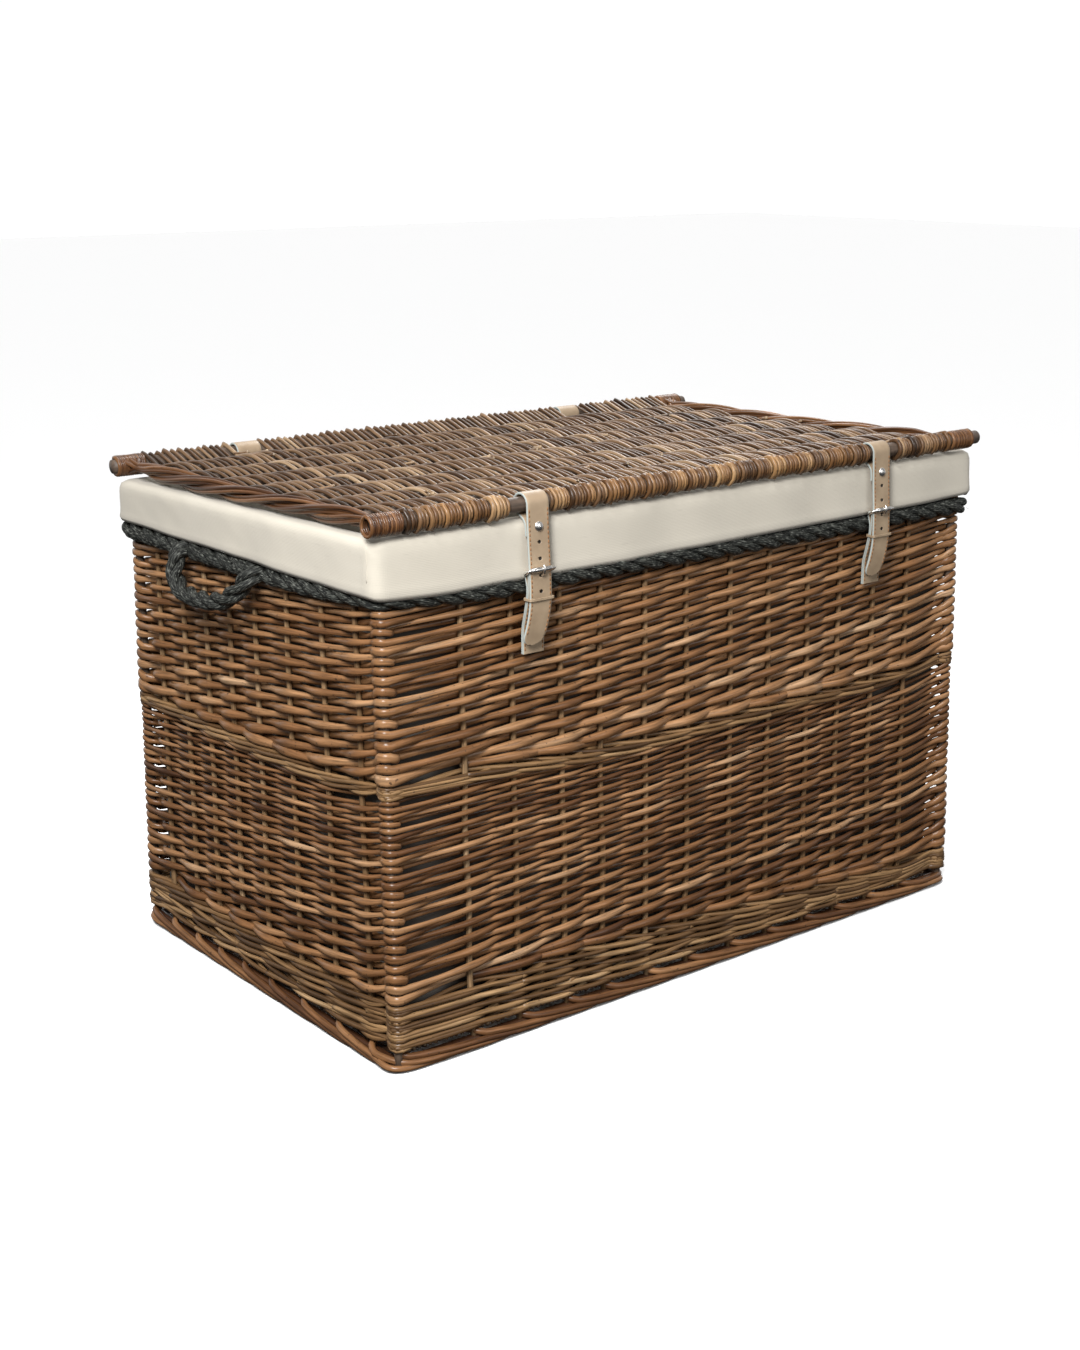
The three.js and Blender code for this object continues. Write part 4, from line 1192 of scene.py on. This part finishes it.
def stick_circle(y, radius, degrees, x, drift=0.0):
    """Points round a lid stick: 90 is its top, 180 its front and 270 its underside."""
    angle = np.radians(degrees)
    share = np.linspace(0, 1, len(angle))
    return [(x + drift * s, y + radius * math.cos(a), radius * math.sin(a)) for a, s in zip(angle, share)]


def lid_line(points, step=5.0, steps=8):
    return lid_place(resample(spline(points, steps), step))


def bare_at_front(x):
    return -260 < x < -211 or 226 < x < 271


def bare_at_back(x):
    return any(abs(x - centre) < 17 for centre in HINGE_X.values())


def lid_pass(index, x, radius, sway):
    """One pass of a weaver from the back stick to the front one, with its turn round each."""
    front = -STICK_SPACING
    over = index % 2 == 0
    lift = LID_STICK_RADIUS + radius * 1.1
    wrap = STICK_WOOD + radius * 0.97
    points = []
    if bare_at_back(x):
        points.append((x, -20, 0))
    elif over:
        points += stick_circle(0, wrap, np.arange(-60, 91, 25), x - radius, radius)
    else:
        points += stick_circle(0, wrap, np.arange(60, -91, -25), x - radius, radius)
    for stick in range(1, LID_STICKS + 1):
        sign = 1 if (stick + index) % 2 == 0 else -1
        y = front * stick / (LID_STICKS + 1)
        points.append((x + sway[stick], y, sign * lift))
    if bare_at_front(x):
        points.append((x, front + 26, 0))
        points.append((x, front + 19, -1))
    elif over:
        points += stick_circle(front, wrap, np.arange(80, 336, 25), x, radius)
    else:
        points += stick_circle(front, wrap, np.arange(-80, -336, -25), x, radius)
    return points


def make_lid_weave():
    sets = [Rods(8) for _ in range(3)]
    x, index = WEAVE_SPAN[0], 0
    while x < WEAVE_SPAN[1]:
        count = int(rng.integers(3, 7))
        thick = rng.uniform(1.95, 2.6)
        tone, painted_light_strength = rng.normal(0.47, 0.12), rng.uniform(0.2, 1.0)
        for number in range(count):
            radius = thick * (1 - 0.34 * number / (count - 1))
            x += radius * 1.09
            if x > WEAVE_SPAN[1]:
                break
            sway = rng.normal(size=LID_STICKS + 2) * 0.35
            line = lid_line(lid_pass(index, x, radius, sway))
            t = np.linspace(0, 1, len(line))
            line[:, 0] += waves(t, 3, 0.35)
            target = sets[min(2, int(3 * (x - WEAVE_SPAN[0]) / (WEAVE_SPAN[1] - WEAVE_SPAN[0])))]
            shade = float(np.clip(tone + rng.normal() * 0.14, 0.03, 0.92))
            # Painted light: near the front stick the rods are tinted brighter and more orange, with a
            # strength drawn for each group, standing in for the light on those wraps.
            painted_front_light = painted_light_strength * np.clip((-STICK_Y + 14 - line[:, 1]) / 10, 0, 1)
            target.add(line, radius * (1 + waves(t, 8, 0.03)), tone=shade, hue=painted_front_light, up=(1, 0, 0))
            x += radius * 1.09
            index += 1
        x += rng.uniform(0.0, 0.9)
    for _ in range(LID_STUBS):
        x, y = rng.uniform(*WEAVE_SPAN), -rng.uniform(20, STICK_SPACING - 20)
        lean = rng.normal() * 0.25
        length = rng.uniform(9, 20)
        start = np.array([x, y, rng.uniform(1.0, 3.5)])
        bend = start + (length * lean, -length * 0.6, 1.5)
        tip = start + (length * lean * 1.6, -length, 3.6)
        stub = np.array([start, bend, tip])
        sets[0].add(lid_place(resample(spline(stub, 4), 4)), rng.uniform(1.2, 2.2), up=(1, 0, 0))
    for number, rods in enumerate(sets):
        piece = rods.build(f"lid_weave_rods_{number + 1}", WILLOW_LID)
        belongs(piece, "lid", "willow_lid", "lid_weave")


def make_lid_sticks():
    inner = Rods(10)
    for stick in range(1, LID_STICKS + 1):
        y = -STICK_SPACING * stick / (LID_STICKS + 1)
        xs = np.linspace(WEAVE_SPAN[0] - 6, WEAVE_SPAN[1] + 6, 40)
        t = np.linspace(0, 1, len(xs))
        line = np.column_stack([xs, np.full_like(xs, y) + waves(t, 3, 0.5), waves(t, 3, 0.3)])
        inner.add(lid_place(line), LID_STICK_RADIUS, tone=0.3)
    nodes = [f"lid_stick_{k + 1}" for k in range(LID_STICKS)]
    belongs(inner.build("lid_inner_sticks", STICK), "lid", "stick", *nodes)
    outer = (("lid_back_stick", 0, (-411, 406)), ("lid_front_stick", -STICK_SPACING, (-404, 410)))
    for name, y, span in outer:
        rods = Rods(20)
        xs = np.linspace(*span, 60)
        t = np.linspace(0, 1, len(xs))
        line = np.column_stack([xs, np.full_like(xs, y), np.zeros_like(xs)])
        rods.add(lid_place(line), STICK_WOOD * (1 + waves(t, 7, 0.008)), tone=0.3, pith=False)
        belongs(rods.build(name + "_wood", STICK), "lid", "stick", name)


def border_rod(rods, strand, member, span, back_span, front_span, share, radius):
    """A thin rod of an end border: round the back stick, along in its strand, round the front stick."""
    centre = (span[0] + span[1]) / 2
    front = -STICK_SPACING
    y = np.linspace(-20, front + 20, 70)
    turn = 2 * np.pi * (y / 235.0 + strand / 3)
    own = 2 * np.pi * (member / 5 + y / 900.0)
    width = 5.4 * np.cos(turn) + (3.4 if member else 0.0) * np.cos(own)
    height = 5.0 * np.sin(turn) + (3.0 if member else 0.0) * np.sin(own)
    squeeze = np.clip(np.minimum(-y, y - front) / 60, 0.35, 1)
    body = [(centre + w * min(1, q + 0.2), at, h * q) for at, w, h, q in zip(y, width, height, squeeze)]
    back_x = back_span[0] + (back_span[1] - back_span[0]) * share
    front_x = front_span[0] + (front_span[1] - front_span[0]) * share
    wrap = STICK_WOOD + radius * 0.95
    over = member % 2 == 0
    head_turn = np.arange(-290, 91, 28) if over else np.arange(290, -91, -28)
    tail_turn = np.arange(90, 471, 28) if over else np.arange(-90, -471, -28)
    head = stick_circle(0, wrap, head_turn, back_x, radius)
    tail = stick_circle(front, wrap, tail_turn, front_x, radius)
    line = resample(spline(head + body + tail, 3), 4.5)
    t = np.linspace(0, 1, len(line))
    rods.add(lid_place(line), radius * (1.1 - 0.2 * t), tone=rng.uniform(0.05, 0.45), up=(1, 0, 0.02))


def make_lid_borders():
    ends = (("left", LEFT_BORDER, (-408, -377), (-412, -378)),
            ("right", RIGHT_BORDER, (362, 396), (362, 396)))
    for name, span, back_span, front_span in ends:
        rods = Rods(8)
        order = rng.permutation(BORDER_RODS)
        for number in range(BORDER_RODS):
            strand, member = number % BORDER_STRANDS, number // BORDER_STRANDS
            share = (order[number] + 0.5) / BORDER_RODS
            border_rod(rods, strand, member, span, back_span, front_span, share, BORDER_ROD_RADIUS)
        belongs(rods.build(f"lid_border_rods_{name}", WILLOW), "lid", "willow", f"lid_end_border_{name}")


# ---------------------------------------------------------------- leather

def even_width(half):
    """The half_width of a strip that is equally wide everywhere."""
    return lambda s, length: np.full_like(s, half)


def ribbon(name, path, half_width, thickness, x, materials, step=1.6, sway=None):
    """A strip of leather whose middle line is path, in (y, z).

    half_width and sway give its half width and sideways drift, from (distance along it, its length).
    """
    line = resample(spline(path, 10), step)
    s = along(line)
    forward = unit(np.gradient(line, axis=0))
    out = np.column_stack([-forward[:, 1], forward[:, 0]])
    half = half_width(s, s[-1])
    middle = x + (np.zeros_like(s) if sway is None else sway(s, s[-1]))
    edge = thickness * 0.28
    flat = np.linspace(-1, 1, 9)
    ring = [(w, thickness / 2, "face") for w in flat]
    ring += [(1, thickness / 2 - edge, "edge"), (1, -thickness / 2 + edge, "edge")]
    ring += [(w, -thickness / 2, "face") for w in flat[::-1]]
    ring += [(-1, -thickness / 2 + edge, "edge"), (-1, thickness / 2 - edge, "edge")]
    points = []
    for at, normal, width, centre in zip(line, out, half, middle):
        row = []
        for w, n, kind in ring:
            shrink = 0.0 if kind == "edge" else edge * abs(w) ** 8
            across = w * max(width - shrink, 0.05)
            row.append((centre + across, at[0] + normal[0] * n, at[1] + normal[1] * n))
        points.append(row)
    points = np.array(points)
    rows, columns = points.shape[:2]
    index = np.arange(rows * columns).reshape(rows, columns)
    right = np.roll(index, -1, axis=1)
    quads = np.stack([index[:-1], right[:-1], right[1:], index[1:]], axis=-1).reshape(-1, 4).tolist()
    side = [8 <= c <= 10 or c >= 19 for c in range(columns)] * (rows - 1)
    quads += [index[0][::-1].tolist(), index[-1].tolist()]
    mesh = bpy.data.meshes.new(name)
    mesh.from_pydata((points.reshape(-1, 3) * 0.001).tolist(), [], quads)
    piece = object_of(name, mesh, materials)
    mesh.polygons.foreach_set("material_index", np.array([int(x) for x in side] + [1, 1], np.int32))
    mesh.shade_smooth()
    mesh.set_sharp_from_angle(angle=math.radians(50))
    return piece, np.column_stack([middle, line]), out


def cylinder(place, direction, radius, length, sides=20):
    rods = Rods(sides)
    place, direction = np.array(place, float), unit(np.array(direction, float))
    rods.add(np.array([place - direction * length / 2, place, place + direction * length / 2]), radius,
             up=(0.31, 0.23, 0.9))
    return rods.build("cutter", HOLE_PAINTED_SHADE)


def carve(piece, cutters):
    """Cuts the cutters out of a piece and removes them. The cut walls take the cutters' near-black material
    as painted shade.
    """
    for cutter in cutters:
        modifier = piece.modifiers.new("cut", "BOOLEAN")
        modifier.object = cutter
        modifier.solver = "EXACT"
        modifier.material_mode = "TRANSFER"
    bpy.context.view_layer.update()
    graph = bpy.context.evaluated_depsgraph_get()
    piece.data = bpy.data.meshes.new_from_object(piece.evaluated_get(graph))
    piece.modifiers.clear()
    for cutter in cutters:
        bpy.data.objects.remove(cutter)


def stitches(name, body, slot, line, out, width, thickness, span, side=1, pitch=4.4):
    """Thread along both edges of a strip's outer face between two shares of its length."""
    rods = Rods(6)
    s = along(line)
    for edge in (-1, 1):
        for start in np.arange(s[-1] * span[0], s[-1] * span[1], pitch):
            middle, at, up = (np.interp(start + np.array([0, 1.5, 3.0]), s, line[:, k]) for k in range(3))
            normal = out[min(len(out) - 1, int(np.searchsorted(s, start + 1.5)))]
            lift = side * (thickness / 2 + np.array([-0.1, 0.22, -0.1]))
            points = np.column_stack([middle + edge * width, at + normal[0] * lift, up + normal[1] * lift])
            rods.add(points, 0.5, up=(1, 0, 0), pith=False)
    return belongs(rods.build(name, THREAD), body, slot)


def rivet(name, body, place, direction, head, dome, nodes):
    """A domed rivet head whose flat side is at place."""
    angle = np.linspace(0, np.pi / 2, 8)
    rings = [(head * math.cos(a), dome * math.sin(a)) for a in angle] + [(0.01, dome)]
    rings = [(head * 0.9, -0.5)] + rings
    n = unit(np.array(direction, float))
    a = unit(np.cross(n, (1, 0.01, 0.02)))
    b = np.cross(n, a)
    turn = 2 * np.pi * np.arange(28) / 28
    points = np.array([[np.array(place) + n * h + (a * math.cos(t) + b * math.sin(t)) * r for t in turn]
                       for r, h in rings])
    piece = grid_mesh(name, points, np.zeros(points.shape[:2] + (2,)), NICKEL, close_u=True)
    return belongs(piece, body, "nickel", *nodes)


def strap_path():
    """From the tail behind the front stick, round the stick and down through the buckle to the tip."""
    y, z = -STICK_Y, FRONT_STICK_HEIGHT
    tail = [(-249.1, 503.0), (-248.9, 508.5), (-247.6, 515.2), (-243.0, 519.9)]
    around = LOOP_RADIUS + LEATHER / 2
    turn = np.radians(np.arange(-62, 179, 20))
    loop = [(y + around * math.cos(a), z + around * math.sin(a)) for a in turn]
    leg = [(-251.2, 523.0), (-251.7, 513.0), (-252.4, 500.0), (-253.2, 490.0), (-254.0, 480.0),
           (-254.55, 472.0), (-254.95, 464.0), (-255.3, 455.0), (-255.5, 445.0), (-255.2, 430.0),
           (-254.0, 415.0), (-252.6, 406.0), (-251.4, 399.0)]
    return tail + loop + leg


def tip_width(s, length):
    """Full width, with a rounded tip over the last stretch."""
    left = np.clip((length - s) / STRAP_HALF_WIDTH, 0, 1)
    return STRAP_HALF_WIDTH * np.clip(np.sqrt(np.clip(1 - (1 - left) ** 2.6, 0, 1)), 0.04, 1)


def tail_sway(s, length):
    """The loose end below the keeper curls a little towards the left."""
    return -8.0 * np.clip((s - length + 46) / 46, 0, 1) ** 1.7


def make_strap(side):
    x = STRAP_X[side]
    piece, line, out = ribbon(f"strap_{side}_leather", strap_path(), tip_width, LEATHER, x,
                              [LEATHER_FACE, LEATHER_EDGE], sway=tail_sway)
    cutters = [cylinder((x, -253, FRONT_STICK_HEIGHT - drop), (0, 1, 0), 1.8, 12) for drop in STRAP_HOLES]
    cutters.append(cylinder((x, -255, FRONT_STICK_HEIGHT - PRONG_HOLE), (0, 1, 0), 1.9, 8))
    carve(piece, cutters)
    belongs(piece, f"strap_{side}", "leather", f"strap_{side}")
    stitches(f"strap_{side}_thread", f"strap_{side}", "leather", line, out, STRAP_HALF_WIDTH - 2.2,
             LEATHER, (0.36, 0.93), side=-1)
    rivet(f"strap_{side}_rivet", f"strap_{side}", (x, -252.9, 511.5), (0, -1, 0.08), 5.0, 2.6,
          [f"strap_rivet_{side}"])


def make_chape(side):
    x = STRAP_X[side]
    bar_y, bar_z = REAR_BAR
    path = [(-244.2, 389.0), (-244.2, 400.0), (-244.6, 414.0), (-248.6, 431.0), (-251.7, 446.0),
            (-252.1, 458.0)]
    turn = np.radians(np.arange(190, -1, -25))
    path += [(bar_y + 2.4 * math.cos(a), bar_z + 2.4 * math.sin(a)) for a in turn]
    path += [(-248.3, 462.0), (-250.0, 456.0), (-249.8, 446.0), (-246.6, 431.0), (-242.6, 414.0),
             (-242.3, 400.0), (-242.3, 389.0)]
    piece, line, out = ribbon(f"chape_{side}_leather", path, even_width(CHAPE_HALF_WIDTH), CHAPE_LEATHER, x,
                              [LEATHER_FACE, LEATHER_EDGE], step=1.4)
    slot_cutter = bpy.data.meshes.new("slot")
    signs = (-1, 1)
    corners = [(x + a * 2.0, -250 + b * 7, 467.5 + c * 4.5) for a in signs for b in signs for c in signs]
    faces = [(0, 1, 3, 2), (4, 6, 7, 5), (0, 4, 5, 1), (2, 3, 7, 6), (0, 2, 6, 4), (1, 5, 7, 3)]
    slot_cutter.from_pydata([tuple(v * 0.001 for v in corner) for corner in corners], [], faces)
    carve(piece, [object_of("slot", slot_cutter, HOLE_PAINTED_SHADE)])
    belongs(piece, "basket", "leather", f"chape_{side}")
    stitches(f"chape_{side}_thread", "basket", "leather", line, out, 10.6, CHAPE_LEATHER,
             (0.02, 0.40), side=1)
    rivet(f"chape_{side}_rivet", "basket", (x - 6, -245.1, 401), (0, -1, 0), 3.6, 1.5,
          [f"chape_rivet_{side}"])


def make_keeper(side):
    x = STRAP_X[side]
    rods = Rods(8)
    ring, _ = rounded_ring(14.2, 5.4, 1.6, 6, 4, 5)
    for height in (-0.8, 0.0, 0.8):
        level = np.full(len(ring), KEEPER_HEIGHT + height)
        points = np.column_stack([ring[:, 0] + x, ring[:, 1] - 252.9, level])
        rods.add(np.vstack([points, points[:2]]), 0.6, up=(0, 0, 1), pith=False)
    belongs(rods.build(f"keeper_{side}_loop", LEATHER_FACE), "basket", "leather", f"keeper_{side}")


def make_buckle(side):
    x = STRAP_X[side]
    frame_rods = Rods(14)
    y0, z0 = REAR_BAR
    y1, z1 = FRONT_BAR
    w, r = FRAME_HALF_WIDTH, 2.0
    direction = unit(np.array([y1 - y0, z1 - z0]))
    length = math.hypot(y1 - y0, z1 - z0)
    ring, _ = rounded_ring(w, length / 2, r, 10, 3, 5)
    middle = np.array([(y0 + y1) / 2, (z0 + z1) / 2])
    points = np.array([(x + a, *(middle - direction * b)) for a, b in ring])
    points = np.vstack([points, points[:2]])
    normal = np.array([0, -direction[1], direction[0]])
    frame_rods.add(points, BAR_RADIUS, up=normal, pith=False)
    belongs(frame_rods.build(f"buckle_{side}_frame", NICKEL), f"buckle_{side}", "nickel",
            f"buckle_frame_{side}")
    roller = Rods(18)
    xs = np.linspace(x - 13.2, x + 13.2, 5)
    roller.add(np.array([(a, y1, z1) for a in xs]), [2.2, 2.6, 2.6, 2.6, 2.2], pith=False)
    belongs(roller.build(f"buckle_{side}_roller", NICKEL), f"roller_{side}", "nickel",
            f"buckle_roller_{side}")
    prong = Rods(10)
    eye = [(x, y0 + 2.1 * math.cos(a), z0 + 2.1 * math.sin(a)) for a in np.radians(np.arange(-60, -321, -26))]
    hook = [(x, -252.4, 465.9), (x, -256, 466.0), (x, -259.6, 467.3), (x, -261.6, 470.4), (x, -261.6, 473.6),
            (x, -260.4, 476.4)]
    prong.add(resample(spline(eye[::-1] + hook, 6), 0.8), 1.0, up=(1, 0, 0), pith=False)
    belongs(prong.build(f"buckle_{side}_prong", NICKEL), f"prong_{side}", "nickel", f"buckle_prong_{side}")


def make_hinge(side):
    x = HINGE_X[side]
    y, z = STICK_Y, BACK_STICK_HEIGHT
    around = LOOP_RADIUS + LEATHER / 2
    turn = np.radians(np.arange(250, 0, -20))
    loop = [(y + around * math.cos(a), z + around * math.sin(a)) for a in turn]
    path = loop + [(y + around, 512.0), (y + 9.8, 500.0), (y + 9.4, 488.0), (y + 9.2, 476.0)]
    piece, line, out = ribbon(f"hinge_{side}_leather", path, even_width(HINGE_HALF_WIDTH), LEATHER, x,
                              [LEATHER_FACE, LEATHER_EDGE])
    belongs(piece, "basket", "leather", f"hinge_leather_{side}")
    stitches(f"hinge_{side}_thread", "basket", "leather", line, out, 12.6, LEATHER, (0.5, 0.98), side=1)
    rivet(f"hinge_{side}_rivet", "basket", (x, STICK_Y + 10.9, 502.0), (0, 1, 0), 4.5, 2.0,
          [f"hinge_rivet_{side}"])


# ---------------------------------------------------------------- assembly

bpy.context.scene.view_settings.view_transform = "Standard"
make_camera()
make_studio()
make_rope_ring()
make_handles()
make_weave("upper_weave_rods", UPPER_ROWS, MID_EDGE + 1.0, np.full(STATION_COUNT, UPPER_WEAVE_TOP),
           *UPPER_TAPER, UPPER_TONES, "upper_weave")
make_weave("lower_weave_rods", LOWER_ROWS, BOTTOM_EDGE, MID_EDGE - WALE_HEIGHT,
           *LOWER_TAPER, LOWER_TONES, "lower_weave")
make_stakes()
make_wales()
make_foot()
make_base()
make_lining()
make_lid_weave()
make_lid_sticks()
make_lid_borders()
for side in ("left", "right"):
    make_strap(side)
    make_chape(side)
    make_keeper(side)
    make_buckle(side)
    make_hinge(side)
